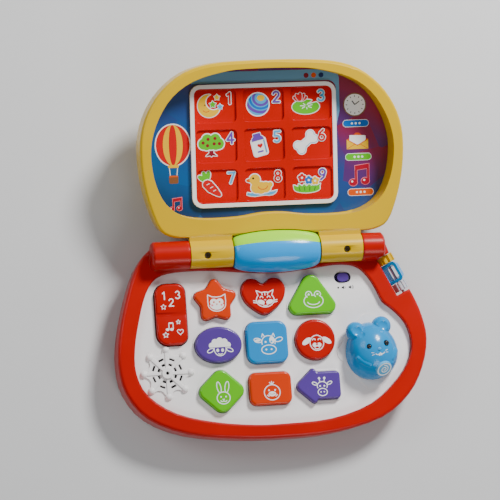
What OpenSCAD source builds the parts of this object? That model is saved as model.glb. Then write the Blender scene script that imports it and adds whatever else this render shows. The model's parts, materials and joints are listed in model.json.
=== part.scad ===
/* [Base] */
// Distance from the hinge axis to the front edge of the base
base_depth = 160; // [158:0.5:164]
// Height of the red rim above the table
rim_top = 32.5; // [32:0.1:33]
// Height of the white deck above the table
deck_top = 27.5; // [27:0.1:27.8]
// Height of the seam between the two halves of the base
seam_z = 17; // [16:0.25:17.5]
// Thickness of the walls of the base
base_wall = 2.5; // [2:0.1:3]
// Thickness of the deck plate
deck_t = 2.5; // [2:0.1:2.8]
// Radius of the rounded outer edges of the base
base_round = 4; // [2:0.5:5]
// Diameter of a case screw
case_screw_d = 3; // [2.5:0.1:3.4]

/* [Keys] */
// Distance between the columns of keys
key_pitch_x = 42.25; // [42:0.25:44]
// Distance between the rows of keys
key_pitch_y = 39.7; // [39:0.1:40.5]
// Place of the middle column beside the centre of the hinge
key_mid_x = -12; // [-13:0.25:-11]
// Distance from the hinge axis to the first row of keys
key_row_y = 38; // [37.5:0.25:39]
// Height of a key above the deck
key_rise = 5.7; // [4.5:0.1:5.8]
// Travel of a key
key_travel = 1.6; // [1:0.1:1.7]
// Gap between a key and its hole
key_gap = 0.4; // [0.3:0.05:0.6]
// Height of the collars round the key holes
collar_h = 0.6; // [0.4:0.1:1]
// Width of the collars round the key holes
collar_w = 1.3; // [1:0.1:1.6]

/* [Rocker and volume switch] */
// Width of the mode rocker
rocker_w = 27; // [25:0.5:28]
// Length of the mode rocker
rocker_l = 53; // [50:0.5:54]
// Diameter of the rocker's pivots
pivot_d = 3; // [2.6:0.1:3.2]
// Clearance of the pivots in their lugs, on the radius
pivot_gap = 0.05; // [0.03:0.01:0.1]
// Length of the volume knob
volume_l = 10; // [9:0.25:11]
// Width of the volume knob
volume_w = 7.5; // [6.5:0.25:8]
// Travel of the volume knob to each side
volume_travel = 2; // [1:0.25:2.5]

/* [Speaker] */
// Distance from the middle of the speaker to its round tips
rosette_r = 20; // [19:0.25:20.5]
// Radius of a round tip
tip_r = 3.2; // [2.5:0.1:3.4]
// Number of round tips
tip_count = 8; // [6:1:9]
// Diameter of the speaker's cone
speaker_d = 40; // [36:0.5:42]

/* [Mouse] */
// Width of the mouse
mouse_w = 45; // [42:0.5:46]
// Length of the mouse without its ears
mouse_l = 50; // [47:0.5:52]
// Height of the mouse above the deck
mouse_h = 24.5; // [21:0.5:25]
// Radius of an ear
ear_r = 8.5; // [7:0.25:9]
// Travel of the mouse to each side, both ways
mouse_travel = 4; // [2:0.5:4.5]
// Diameter of the stem under the mouse
stem_d = 10; // [9:0.25:11]

/* [Beads] */
// Diameter of the rod that carries the beads
rod_d = 2.5; // [2:0.1:3]
// Clearance of a bead on the rod, on the radius
rod_gap = 0.1; // [0.05:0.01:0.1]
// Height of the rod above the table
rod_z = 17; // [16:0.25:17.5]
// Radius of the bay that the beads turn in
bay_r = 11.5; // [11.2:0.1:12]
// Diameter of the toothed wheel
wheel_d = 15; // [13:0.25:17]
// Size of the square ring across the rod
ring_w = 17; // [14:0.25:17.5]
// Size of the square ring along the rod
ring_l = 18.5; // [16:0.25:19]
// Depth of the square ring
ring_t = 11; // [9:0.25:12]

/* [Hinge] */
// Height of the hinge axis above the table
axis_z = 38; // [37.5:0.25:38.5]
// Radius of the barrels
barrel_r = 12; // [11:0.25:12.4]
// Greatest radius of the pod in the middle
pod_r = 18.5; // [17.5:0.25:19]
// Length of the pod
pod_l = 75; // [72:0.5:76]
// Distance of the middle of the seam between the pod's covers behind the hinge axis
pod_seam = 5.5; // [5.25:0.25:9]
// Bow of that seam from its middle to its ends
seam_bow = 2; // [1:0.25:2.25]
// Distance from the middle to the outer end of a lid knuckle
knuckle_x = 75; // [72:0.5:77]
// Diameter of a hinge pin
pin_d = 5; // [4:0.1:5.5]
// Clearance of a knuckle on its pin, on the radius
pin_gap = 0.05; // [0.03:0.01:0.1]
// Gap between neighbouring barrels
barrel_gap = 0.4; // [0.3:0.05:0.6]
// Opening angle of the lid as it stands
lid_open = 165; // [160:1:170]

/* [Lid] */
// Distance from the hinge axis to the far edge of the lid
lid_reach = 163.5; // [160:0.5:165]
// Half the width of the lid
lid_half_w = 115; // [113:0.5:116]
// Distance from the hinge axis to the near edge of the lid
lid_start = 14.5; // [14.2:0.1:16]
// Width of the rim round the screen
lid_rim = 9; // [8:0.25:10]
// Height of the rim over the hinge axis, towards the viewer
rim_n = 4; // [3.8:0.1:4.2]
// Depth of the screen below the rim
screen_depth = 20; // [19.8:0.1:21]
// Depth of the lid behind the screen
back_depth = 9; // [8:0.25:10]
// Wall of the lid
lid_wall = 2.2; // [2:0.1:2.6]
// Width of the light panel with its border
panel_w = 128; // [124:0.5:130]
// Height of the light panel with its border
panel_h = 105.5; // [100:0.5:107]
// Width of the white border
panel_border = 3.5; // [3:0.25:5]
// Rise of the light panel above the screen
panel_rise = 3; // [2:0.1:3.4]
// Width of the ribs between the windows
panel_rib = 4; // [3:0.25:5]

/* [Battery] */
// Diameter of a battery
cell_d = 14.2; // [13.8:0.1:14.3]
// Length of a battery
cell_l = 50; // [49:0.5:50.5]
// Number of batteries
cell_count = 3; // [2:1:3]

/* [Hidden] */
$fn = 48;
eps = 0.01;
fit = 0.05;

hinge_y = base_depth / 2;
deck_low = deck_top - deck_t;
key_top = deck_top + key_rise;
flange_t = 1.3;
flange_out = 1.6;
flange_top = deck_low - 0.1;
board_t = 1.6;
mat_t = 0.8;
pip_h = 0.6;
// The mat's pips stop just short of the pressed keys.
mat_z = flange_top - flange_t - key_travel - 0.2 - pip_h - mat_t;
board_z = mat_z - board_t;
cell_pitch = cell_d + 0.8;
box_in_l = cell_l + 7;
box_in_w = cell_pitch * cell_count + 1;
box_wall = 1.8;
door_t = 2;
box_top = door_t + cell_d + 0.6 + box_wall;
box_y = 88;
door_gap = 0.3;

// Points of the case screws: distance to the right and distance in front of the hinge axis.
screw_points = [[122.6, 80], [-133, 88], [58, 149.5], [-62, 151], [-99, 3], [83, 4]];
boss_r = 3.7;
board_posts = [[-66, 28], [42, 28], [-66, 126], [42, 126]];

rocker_x = -93;
rocker_y = 49.5;
rocker_axis_z = deck_low - 2.6;
rocker_tilt = 3;
volume_x = 59.5;
volume_y = 24.5;
volume_slot_l = volume_l + 2 * volume_travel + 0.8;
speaker_x = -99.4;
speaker_y = 99.3;
mouse_x = 79;
mouse_y = 90;
// Turn of the mouse, its face towards the right.
mouse_turn = 9;
mouse_gap = 0.4;
carriage_t = 1.8;
carriage_top = deck_low - 0.3;
carriage_low = carriage_top - carriage_t;
stem_hole = stem_d + 2 * mouse_travel + 1;

rod_rear = [100, 5];
rod_front = [116.5, 39.5];
rod_seat = 4;
bay_end = 1;

screen_n = rim_n - screen_depth;
back_n = screen_n - back_depth;
lid_seam_n = screen_n + 6;
label_t = 0.6;
floor_t = 2;
panel_x = -4.6;
panel_y = 90.8;
panel_n = screen_n - label_t;
pod_end_r = 11.5;
pod_swell = pod_r - pod_end_r;
screw_x = 60.8;
lid_screws_drawn = [[-92, 130], [92, 130], [-98, 60], [98, 60], [-40, 24], [40, 24]];

// ---- outlines: distance to the right, distance in front of the hinge axis ----
base_points = [
    [0, 160], [42, 158], [84, 148], [110, 129], [124, 106], [130, 82], [127.5, 62],
    [121.3, 44], [112, 25], [104, 8], [98, -6], [84, -10], [0, -10], [-92, -10], [-108, -7],
    [-121, 9], [-131, 35], [-138.5, 64], [-141, 90], [-136, 115], [-119, 137], [-86, 152], [-42, 158.5]
];
deck_points = [
    [0, 148], [40, 146], [76, 135], [101, 114.5], [112.5, 97], [115.3, 83], [111, 67], [101, 55],
    [92.5, 47.5], [88, 37], [81, 24.5], [71, 15.5], [54, 13.2], [28, 16], [0, 18], [-28, 16],
    [-56, 13.2], [-86, 13.2], [-104, 18], [-114, 32], [-121, 54], [-126, 78], [-126, 99],
    [-117, 118], [-94, 134], [-62, 143], [-28, 147.5]
];
lid_right = [
    [20, 163.5], [52.5, 161.5], [76, 154.5], [95, 140], [107.5, 122], [113.8, 103], [115, 83],
    [113, 62], [108, 41], [100, 22], [88, 15.2], [70, 14.5], [30, 14.5]
];
opening_right = [
    [22, 156.5], [44, 154], [68, 147], [86, 134.5], [98, 117], [104.6, 98], [105.6, 80],
    [102, 60], [94, 44], [80, 33.5], [60, 29.5], [30, 29.8], [10, 32.5]
];

function unit(v) = v / norm(v);
function mirrored(list) = [for (i = [len(list) - 1:-1:0]) [-list[i][0], list[i][1]]];
function spline(a, b, c, d, t) =
    0.5 * (2 * b + (c - a) * t + (2 * a - 5 * b + 4 * c - d) * t * t
        + (3 * b - a - 3 * c + d) * t * t * t);
// A smooth closed curve through the given points.
function smooth(list, steps = 3) =
    let (n = len(list))
    [for (i = [0:n - 1]) for (k = [0:steps - 1])
        spline(list[(i + n - 1) % n], list[i], list[(i + 1) % n], list[(i + 2) % n], k / steps)];
// A polygon with each corner rounded; r holds one radius for each corner.
function rounded(list, r, steps = 4) =
    let (n = len(list))
    [for (i = [0:n - 1])
        let (p = list[i])
        let (u = unit(list[(i + n - 1) % n] - p))
        let (v = unit(list[(i + 1) % n] - p))
        let (half = acos(u * v) / 2)
        let (c = p + unit(u + v) * r[i] / sin(half))
        let (s = p + u * r[i] / tan(half) - c)
        let (e = p + v * r[i] / tan(half) - c)
        let (turn = atan2(s[0] * e[1] - s[1] * e[0], s * e))
        for (k = [0:steps])
            let (a = atan2(s[1], s[0]) + turn * k / steps)
            c + r[i] * [cos(a), sin(a)]];
// Moves each point of an anticlockwise outline inwards by d.
function inset(list, d) =
    let (n = len(list))
    [for (i = [0:n - 1])
        let (t = unit(list[(i + 1) % n] - list[(i + n - 1) % n]))
        list[i] + d * [-t[1], t[0]]];
// Distances in front of the hinge axis follow the depth of the base, past the strip by the hinge.
hinge_strip = 8;
drawn_depth = 160;
depth_scale = (base_depth - hinge_strip) / (drawn_depth - hinge_strip);
function along(y) = y > hinge_strip ? hinge_strip + (y - hinge_strip) * depth_scale : y;
function place(p, z = 0) = [p[0], hinge_y - along(p[1]), z];
function in_frame(list) = [for (p = list) [p[0], hinge_y - along(p[1])]];
function shortened(list) = [for (p = list) [p[0], p[1] * depth_scale]];
base_outline = in_frame(smooth(base_points));
deck_outline = in_frame(smooth(deck_points));

// Distances along the lid follow its reach, and those across it its width.
drawn_reach = 163.5;
drawn_start = 14.5;
drawn_half_w = 115;
reach_scale = (lid_reach - lid_start) / (drawn_reach - drawn_start);
width_scale = lid_half_w / drawn_half_w;
function up_lid(y) = lid_start + (y - drawn_start) * reach_scale;
function fit_lid(list) = [for (p = list) [p[0] * width_scale, up_lid(p[1])]];
mid_of_base = place([0, 75]);
mid_of_lid = [0, up_lid(85)];
lid_outline = smooth(fit_lid(concat(mirrored(lid_right), lid_right)));
lid_path = [for (i = [len(lid_outline) - 1:-1:0]) lid_outline[i]];
opening_outline = smooth(fit_lid(concat(mirrored(opening_right), opening_right)));
opening_raw = [for (i = [len(opening_outline) - 1:-1:0]) opening_outline[i]];
opening_path = inset(opening_raw, lid_rim - 9);
lid_screw_points = fit_lid(lid_screws_drawn);
panel_high = panel_h * reach_scale;
panel_wide = panel_w * width_scale;
panel_mid = [panel_x * width_scale, up_lid(panel_y)];

// Joins outlines of the same number of points, each at its own height, into one solid.
// The end faces are fans about mid, which sees the whole outline.
module loft(rings, heights, mid = [0, 0]) {
    n = len(rings[0]);
    m = len(rings);
    polyhedron(
        points = concat(
            [for (j = [0:m - 1]) for (p = rings[j]) [p[0], p[1], heights[j]]],
            [[mid[0], mid[1], heights[0]], [mid[0], mid[1], heights[m - 1]]]),
        faces = concat(
            [for (i = [0:n - 1]) [m * n, i, (i + 1) % n]],
            [for (j = [0:m - 2]) for (i = [0:n - 1])
                [j * n + i, (j + 1) * n + i, (j + 1) * n + (i + 1) % n]],
            [for (j = [0:m - 2]) for (i = [0:n - 1])
                [j * n + i, (j + 1) * n + (i + 1) % n, j * n + (i + 1) % n]],
            [for (i = [0:n - 1]) [m * n + 1, (m - 1) * n + (i + 1) % n, (m - 1) * n + i]]));
}

module prism(path, low, high) {
    translate([0, 0, low])
        linear_extrude(high - low)
            polygon(path);
}

module tube_cut(r, low, high) {
    translate([0, 0, low])
        cylinder(h = high - low, r = r);
}

// ---- key outlines, each round its own middle ----
function ring_of(a, b, count = 40) =
    [for (i = [0:count - 1]) [a * cos(i * 360 / count), b * sin(i * 360 / count)]];
star_r = 22;
star_in = 13.4;
star_path = rounded(
    [for (i = [0:9]) (i % 2 == 0 ? star_r : star_in) * [cos(90 + 36 * i), sin(90 + 36 * i)] - [0, 2]],
    [for (i = [0:9]) i % 2 == 0 ? 4 : 4.5]);
heart_path = smooth([
    [0, 11], [7, 15.5], [14.5, 14.5], [19.3, 7], [17, -3], [9.5, -11], [0, -16],
    [-9.5, -11], [-17, -3], [-19.3, 7], [-14.5, 14.5], [-7, 15.5]], 4);
heart_ccw = [for (i = [len(heart_path) - 1:-1:0]) heart_path[i]];
triangle_path = rounded([[0, 23.5], [-26.5, -17.5], [26.5, -17.5]], [8, 7, 7], 8);
ellipse_path = ring_of(20.3, 15.5);
square_path = rounded([[18, 18], [-18, 18], [-18, -18], [18, -18]], [8, 8, 8, 8], 7);
circle_path = ring_of(17.5, 17.5);
diamond_path = rounded([[0, 21], [-22.5, 0], [0, -21], [22.5, 0]], [8, 7, 8, 7], 7);
rectangle_path = rounded([[18.3, 14], [-18.3, 14], [-18.3, -14], [18.3, -14]], [6, 6, 6, 6], 6);
arrow_path = rounded([
    [19, 12], [-1.5, 12], [-3.5, 16.5], [-21.5, 0], [-3.5, -16.5], [-1.5, -12], [19, -12]],
    [4, 1.8, 2.5, 5, 2.5, 1.8, 4], 4);
key_paths = [
    star_path, heart_ccw, triangle_path, ellipse_path, square_path, circle_path,
    diamond_path, rectangle_path, arrow_path];
function key_at(i) = place([key_mid_x + (i % 3 - 1) * key_pitch_x, key_row_y + floor(i / 3) * key_pitch_y]);
function key_path(i) = shortened(key_paths[i]);

// A point that sees the whole outline of every key.
key_mid = [-5, 0];
module key(i) {
    path = key_path(i);
    translate(key_at(i)) {
        prism(inset(path, -flange_out), flange_top - flange_t, flange_top);
        prism(path, flange_top - eps, key_top - 2);
        loft([path, inset(path, 0.5), inset(path, 1.7)], [key_top - 2, key_top - 0.7, key_top], key_mid);
    }
}

module star_key() { color("orange") key(0); }
module heart_key() { color("red") key(1); }
module triangle_key() { color("limegreen") key(2); }
module ellipse_key() { color("mediumpurple") key(3); }
module square_key() { color("skyblue") key(4); }
module circle_key() { color("red") key(5); }
module diamond_key() { color("limegreen") key(6); }
module rectangle_key() { color("orange") key(7); }
module arrow_key() { color("mediumpurple") key(8); }

// ---- shapes of revolution about the hinge axis ----
module about_axis() {
    translate([0, hinge_y, axis_z])
        rotate([0, 90, 0])
            children();
}
pod_steps = 10;
function pod_radius(x, half) = pod_end_r + pod_swell * sqrt(max(0, 1 - pow(x / half, 2)));
module pod_turned(grow) {
    half = pod_l / 2 + grow;
    rotate_extrude()
        polygon(concat(
            [[0, -half]],
            [for (i = [-pod_steps:pod_steps])
                [pod_radius(half * sin(i * 90 / pod_steps), half) + grow, half * sin(i * 90 / pod_steps)]],
            [[0, half]]));
}
module pod_space(grow) {
    about_axis()
        pod_turned(grow);
}
module barrel(from, to, r) {
    about_axis()
        translate([0, 0, from])
            cylinder(h = to - from, r = r);
}
barrel_end = 95;
left_barrel_end = 108;
barrel_chamfer = 1.8;
module outer_barrel(from, to) {
    barrel(from, to - barrel_chamfer, barrel_r);
    about_axis()
        translate([0, 0, to - barrel_chamfer - eps])
            cylinder(h = barrel_chamfer, r1 = barrel_r, r2 = barrel_r - barrel_chamfer);
}
module knuckle_space(grow) {
    from = pod_l / 2 - 5;
    to = knuckle_x + barrel_gap;
    for (side = [-1, 1])
        barrel(side < 0 ? -to : from, side < 0 ? -from : to, barrel_r + grow);
}

// ---- beads: a frame with +X along the rod, from its rear end ----
rod_line = place(rod_front) - place(rod_rear);
rod_len = norm(rod_line);
rod_turn = atan2(rod_line[1], rod_line[0]);
module on_rod() {
    translate(place(rod_rear, rod_z))
        rotate([0, 0, rod_turn])
            children();
}
module bay_space() {
    on_rod() {
        translate([bay_end, 0, 0])
            rotate([0, 90, 0])
                cylinder(h = rod_len - 2 * bay_end, r = bay_r);
        translate([bay_end, 0, -40])
            cube([rod_len - 2 * bay_end, 60, 80]);
        translate([bay_end, -bay_r, 0])
            cube([rod_len - 2 * bay_end, bay_r, 60]);
        translate([bay_end, -bay_r, -60])
            cube([rod_len - 2 * bay_end, bay_r, 60]);
    }
}
module rod_bore(gap) {
    on_rod()
        translate([-rod_seat, 0, 0])
            rotate([0, 90, 0])
                cylinder(h = rod_len + 2 * rod_seat, r = rod_d / 2 + gap);
}

// ---- base ----
module base_skin(low, high) {
    intersection() {
        loft(
            [inset(base_outline, base_round * 0.75), inset(base_outline, base_round * 0.22), base_outline,
                base_outline, inset(base_outline, base_round * 0.22), inset(base_outline, base_round * 0.75)],
            [0, base_round * 0.35, base_round, rim_top - base_round, rim_top - base_round * 0.35, rim_top],
            mid_of_base);
        translate([-200, -200, low])
            cube([400, 400, high - low]);
    }
}

module case_bosses(low, high) {
    for (p = screw_points)
        translate(place(p, low))
            cylinder(h = high - low, r = boss_r);
}

module battery_box() {
    translate(place([0, box_y], 0)) {
        difference() {
            translate([-box_in_l / 2 - box_wall, -box_in_w / 2 - box_wall, 0])
                cube([box_in_l + 2 * box_wall, box_in_w + 2 * box_wall, box_top]);
            translate([-box_in_l / 2, -box_in_w / 2, -eps])
                cube([box_in_l, box_in_w, box_top - box_wall + eps]);
        }
        for (i = [1:cell_count - 1])
            translate([-box_in_l / 2 - eps, -box_in_w / 2 + 0.5 + i * cell_pitch - 0.3, box_top - 5])
                cube([box_in_l + 2 * eps, 0.6, 5 - eps]);
    }
}
door_l = box_in_l + 2 * box_wall + 3;
door_w = box_in_w + 2 * box_wall + 3;
door_screw_y = along(box_y) - door_w / 2 - 5;
door_screw_at = [0, hinge_strip + (door_screw_y - hinge_strip) / depth_scale];

module base_lower_case() {
    color("crimson")
        difference() {
            union() {
                difference() {
                    base_skin(0, seam_z);
                    prism(inset(base_outline, base_wall), base_wall, seam_z + 1);
                }
                // Wall behind the beads.
                intersection() {
                    base_skin(0, seam_z);
                    on_rod()
                        translate([-rod_seat - 1, -bay_r - base_wall, -40])
                            cube([rod_len + 2 * rod_seat + 2, 40, 80]);
                }
                case_bosses(1, seam_z);
                for (p = board_posts)
                    translate(place(p, 1))
                        cylinder(h = board_z - 1, r = 3);
                battery_box();
                translate(place(door_screw_at, 0))
                    cylinder(h = 9, r = 5);
            }
            bay_space();
            rod_bore(fit);
            pod_space(fit);
            knuckle_space(0.6);
            translate(place([0, box_y], -eps))
                translate([-door_l / 2, -door_w / 2, 0])
                    cube([door_l, door_w, door_t + eps]);
            translate(place([0, box_y], -eps))
                translate([-box_in_l / 2, -box_in_w / 2, 0])
                    cube([box_in_l, box_in_w, door_t + 2]);
            translate(place(door_screw_at, -eps))
                translate([-7, -7, 0])
                    cube([14, 14, door_t + eps]);
            translate(place(door_screw_at, 0))
                tube_cut(1.3, door_t - eps, 8);
            for (p = screw_points) {
                translate(place(p, 0))
                    tube_cut(case_screw_d / 2 + 0.2, -1, seam_z + 1);
                translate(place(p, 0))
                    tube_cut(case_screw_d + 0.1, -1, 7);
            }
        }
}

module base_upper_case() {
    color("crimson")
        difference() {
            union() {
                difference() {
                    base_skin(seam_z, rim_top);
                    prism(inset(base_outline, base_wall), seam_z - 1, rim_top - base_wall);
                }
                // Wall round the deck, with the ledge that the deck lies on.
                prism(inset(deck_outline, -1.8), deck_low - 2, rim_top - 1);
                intersection() {
                    base_skin(seam_z, rim_top);
                    union() {
                        on_rod()
                            translate([-rod_seat - 1, -bay_r - base_wall, -40])
                                cube([rod_len + 2 * rod_seat + 2, 40, 80]);
                        case_bosses(seam_z, rim_top - 1);
                    }
                }
                // Outer barrels and the cheeks that carry them.
                outer_barrel(knuckle_x + barrel_gap, barrel_end);
                mirror([1, 0, 0])
                    outer_barrel(knuckle_x + barrel_gap, left_barrel_end);
                intersection() {
                    base_skin(seam_z, rim_top);
                    union() {
                        translate([knuckle_x + barrel_gap, hinge_y - 12, seam_z])
                            cube([3, 22, 20]);
                        translate([-knuckle_x - barrel_gap - 3, hinge_y - 12, seam_z])
                            cube([3, 22, 20]);
                    }
                }
            }
            prism(inset(deck_outline, -0.15), deck_low, rim_top + 1);
            prism(inset(deck_outline, 2), seam_z - 1, rim_top);
            bay_space();
            rod_bore(fit);
            pod_space(fit);
            knuckle_space(0.6);
            barrel(-left_barrel_end + 6, barrel_end - 6, pin_d / 2 + 0.02);
            for (p = screw_points)
                translate(place(p, 0))
                    tube_cut(case_screw_d / 2 - 0.2, seam_z - 1, seam_z + 9);
        }
}

module speaker_rosette() {
    translate(place([speaker_x, speaker_y], deck_top)) {
        difference() {
            translate([0, 0, -eps])
                cylinder(h = 1.2, r = rosette_r - 1.5);
            for (i = [0:tip_count - 1])
                rotate([0, 0, (i + 0.5) * 360 / tip_count])
                    translate([rosette_r + 1.5, 0, -1])
                        cylinder(h = 4, r = 5.5);
        }
        for (i = [0:tip_count - 1])
            rotate([0, 0, i * 360 / tip_count]) {
                translate([0, -1.2, -eps])
                    cube([rosette_r, 2.4, 1.9]);
                intersection() {
                    translate([rosette_r, 0, 0])
                        sphere(r = tip_r, $fn = 20);
                    translate([0, -5, -eps])
                        cube([40, 10, 10]);
                }
            }
        translate([0, 0, -eps])
            cylinder(h = 3.4, r = 4.6);
    }
}

module speaker_slots() {
    translate(place([speaker_x, speaker_y], 0))
        for (i = [0:tip_count - 1])
            rotate([0, 0, (i + 0.5) * 360 / tip_count]) {
                translate([6.6, -1.6, deck_low - 1])
                    cube([2, 3.2, 8]);
                translate([11.4, -2.4, deck_low - 1])
                    cube([1.8, 4.8, 8]);
            }
}

rocker_len = rocker_l * depth_scale;
rocker_path = rounded(
    [[rocker_w / 2, rocker_len / 2], [-rocker_w / 2, rocker_len / 2], [-rocker_w / 2, -rocker_len / 2],
        [rocker_w / 2, -rocker_len / 2]], [8, 10, 10, 8], 6);
lug_x = rocker_w / 2 + 1;
module rocker_lugs() {
    for (side = [-1, 1])
        translate(place([rocker_x + side * (lug_x + 1), rocker_y], rocker_axis_z))
            difference() {
                translate([-1, -3.5, -3.5])
                    cube([2, 7, deck_low - rocker_axis_z + 3.5 + eps]);
                rotate([0, 90, 0])
                    translate([0, 0, -2])
                        cylinder(h = 4, r = pivot_d / 2 + pivot_gap);
            }
}

module slot_path(l, w, low, high) {
    hull()
        for (side = [-1, 1])
            translate([side * (l - w) / 2, 0, low])
                cylinder(h = high - low, r = w / 2);
}

module diamond_plateau() {
    translate(place([mouse_x, mouse_y], 0))
        prism(
            rounded([[0, 38], [-32, 0], [0, -38], [32, 0]], [9, 8, 9, 8], 5),
            deck_top - eps, deck_top + 0.5);
}

module deck_plate() {
    color("whitesmoke")
        difference() {
            union() {
                prism(deck_outline, deck_low, deck_top);
                for (i = [0:8])
                    translate(key_at(i))
                        prism(inset(key_path(i), -key_gap - collar_w), deck_top - eps, deck_top + collar_h);
                speaker_rosette();
                rocker_lugs();
                diamond_plateau();
                // Guides of the mouse carriage.
                translate(place([mouse_x, mouse_y], 0))
                    for (side = [-1, 1])
                        translate([-24, side * 17.3 - 1, carriage_low])
                            cube([48, 2, deck_low - carriage_low + eps]);
            }
            for (i = [0:8])
                translate(key_at(i))
                    prism(inset(key_path(i), -key_gap), deck_low - 1, deck_top + 3);
            translate(place([rocker_x, rocker_y], 0))
                prism(inset(rocker_path, -0.6), deck_low - 1, deck_top + 3);
            translate(place([volume_x, volume_y], 0)) {
                slot_path(volume_slot_l - 3, volume_w - 2, deck_low - 1, deck_top + 1);
                slot_path(volume_slot_l, volume_w + 1.4, deck_top - 1, deck_top + 1);
            }
            speaker_slots();
            translate(place([speaker_x, speaker_y], 0))
                tube_cut(1.5, deck_low - 1, deck_top + 5);
            translate(place([mouse_x, mouse_y], 0))
                translate([-stem_hole / 2, -stem_hole / 2, deck_low - 1])
                    cube([stem_hole, stem_hole, 6]);
            pod_space(fit);
            knuckle_space(0.6);
        }
}

module battery_door() {
    color("crimson")
        difference() {
            union() {
                translate(place([0, box_y], 0))
                    translate([-door_l / 2 + door_gap, -door_w / 2 + door_gap, 0])
                        cube([door_l - 2 * door_gap, door_w - 2 * door_gap, door_t - 0.1]);
                translate(place(door_screw_at, 0))
                    translate([-7 + door_gap, -7 + door_gap, 0])
                        cube([14 - 2 * door_gap, 14 - 2 * door_gap, door_t - 0.1]);
            }
            translate(place(door_screw_at, 0))
                tube_cut(1.7, -1, door_t + 1);
            translate(place(door_screw_at, 0))
                tube_cut(3, -1, 1);
        }
}

// A pan-head screw with its head at the origin and its shank along +Z.
module screw(head_d, head_h, shank_d, shank_l) {
    difference() {
        cylinder(h = head_h, r = head_d / 2);
        for (a = [0, 90])
            rotate([0, 0, a])
                translate([-head_d * 0.3, -0.35, -eps])
                    cube([head_d * 0.6, 0.7, head_h * 0.5]);
    }
    translate([0, 0, head_h - eps])
        cylinder(h = shank_l, r = shank_d / 2);
}

module battery_door_screw() {
    color("silver")
        translate(place(door_screw_at, 0.1))
            screw(5.6, 0.85, 2.5, 6.5);
}

module case_screws() {
    color("silver")
        for (p = screw_points)
            translate(place(p, 5))
                screw(case_screw_d * 2 - 0.4, 1.98, case_screw_d - 0.45, seam_z - 7 + 8);
}

module batteries() {
    color("dimgray")
        for (i = [0:cell_count - 1])
            translate(place([0, box_y], 0))
                translate([
                    -cell_l / 2,
                    -box_in_w / 2 + 0.5 + (i + 0.5) * cell_pitch,
                    door_t + cell_d / 2 + 0.3])
                    rotate([0, 90, 0]) {
                        cylinder(h = cell_l - 1, r = cell_d / 2);
                        translate([0, 0, i % 2 == 0 ? cell_l - 1 - eps : -1])
                            cylinder(h = 1 + eps, r = 2.6);
                    }
}

module battery_contacts() {
    color("silver")
        translate(place([0, box_y], 0))
            for (side = [-1, 1])
                translate([side * (box_in_l / 2 - 0.5) - 0.4, -box_in_w / 2 + 1, door_t + 2.5])
                    cube([0.8, box_in_w - 2, box_top - box_wall - 5 - door_t - 2.7]);
}

module circuit_board() {
    color("darkgreen")
        translate([0, 0, board_z])
            linear_extrude(board_t)
                translate([-72, hinge_y - along(132)])
                    square([120, along(132) - along(22)]);
}

module key_mat() {
    color("lightgray") {
        translate([-68, hinge_y - along(128), mat_z])
            cube([112, along(128) - along(24), mat_t]);
        for (i = [0:8])
            translate(key_at(i))
                translate([0, 0, mat_z + mat_t - eps])
                    cylinder(h = pip_h, r = 5);
    }
}

module speaker_driver() {
    color("dimgray")
        translate(place([speaker_x, speaker_y], 0)) {
            tube_cut(speaker_d / 2, deck_low - 4.1, deck_low - 0.1);
            translate([0, 0, deck_low - 10])
                cylinder(h = 6, r1 = 12, r2 = speaker_d / 2 - 2);
            tube_cut(10, deck_low - 14, deck_low - 9.9);
        }
}

module volume_switch_body() {
    color("silver")
        translate(place([volume_x, volume_y], 0)) {
            translate([-7, -4, deck_low - 7.5])
                cube([14, 8, 4.5]);
            for (side = [-1, 1])
                translate([side * 9.3 - 1.3, -3, deck_low - 7.5])
                    cube([2.6, 6, 7.4]);
            translate([-9, -3, deck_low - 7.5])
                cube([18, 6, 1.5]);
        }
}

// The blue front cover wraps over the axis; the lime rear cover meets it behind, along a bowed seam.
seam_bow_r = (pow(pod_l / 2, 2) + pow(seam_bow, 2)) / (2 * seam_bow);
module before_seam(grow) {
    translate([0, hinge_y + pod_seam - seam_bow_r, axis_z - 60])
        cylinder(h = 120, r = seam_bow_r + grow, $fn = 360);
}
module pod_front_cover() {
    color("deepskyblue")
        difference() {
            intersection() {
                pod_space(0);
                before_seam(0);
            }
            pod_pin_bores();
        }
}
module pod_rear_cover() {
    color("yellowgreen")
        difference() {
            pod_space(0);
            before_seam(0.02);
            pod_pin_bores();
        }
}
module pod_pin_bores() {
    barrel(pod_l / 2 - 12, pod_l / 2 + 1, pin_d / 2 + 0.02);
    barrel(-pod_l / 2 - 1, -pod_l / 2 + 12, pin_d / 2 + 0.02);
}

module hinge_pins() {
    color("silver") {
        barrel(pod_l / 2 - 11.5, barrel_end - 6.5, pin_d / 2);
        barrel(-left_barrel_end + 6.5, -pod_l / 2 + 11.5, pin_d / 2);
    }
}

module bead_rod() {
    color("silver")
        on_rod()
            translate([-rod_seat + 0.3, 0, 0])
                rotate([0, 90, 0])
                    cylinder(h = rod_len + 2 * rod_seat - 0.6, r = rod_d / 2);
}

// ---- beads ----
wheel_l = 7;
bead_gap = 0.35;
// Play of the row of beads along the rod.
bead_play = 1.8;
ribbed_l = rod_len - 2 * bay_end - wheel_l - ring_l - 4 * bead_gap - bead_play;
wheel_at = bay_end + bead_gap;
ring_at = wheel_at + wheel_l + bead_gap;
ribbed_at = ring_at + ring_l + bead_gap;
wheel_teeth = 9;
module toothed_wheel_bead() {
    color("gold")
        on_rod()
            translate([wheel_at, 0, 0])
                rotate([0, 90, 0])
                    difference() {
                        union() {
                            cylinder(h = wheel_l, r = wheel_d / 2 - 2);
                            for (i = [0:wheel_teeth - 1])
                                rotate([0, 0, i * 360 / wheel_teeth])
                                    translate([wheel_d / 2 - 3.2, -1.4, 0])
                                        cube([3.2, 2.8, wheel_l]);
                        }
                        translate([0, 0, -1])
                            cylinder(h = wheel_l + 2, r = rod_d / 2 + rod_gap);
                    }
}

ring_wall = 2.6;
ring_tilt = 38;
// Share of the ring's outer size that its narrow back has.
ring_back = 0.76;
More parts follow.
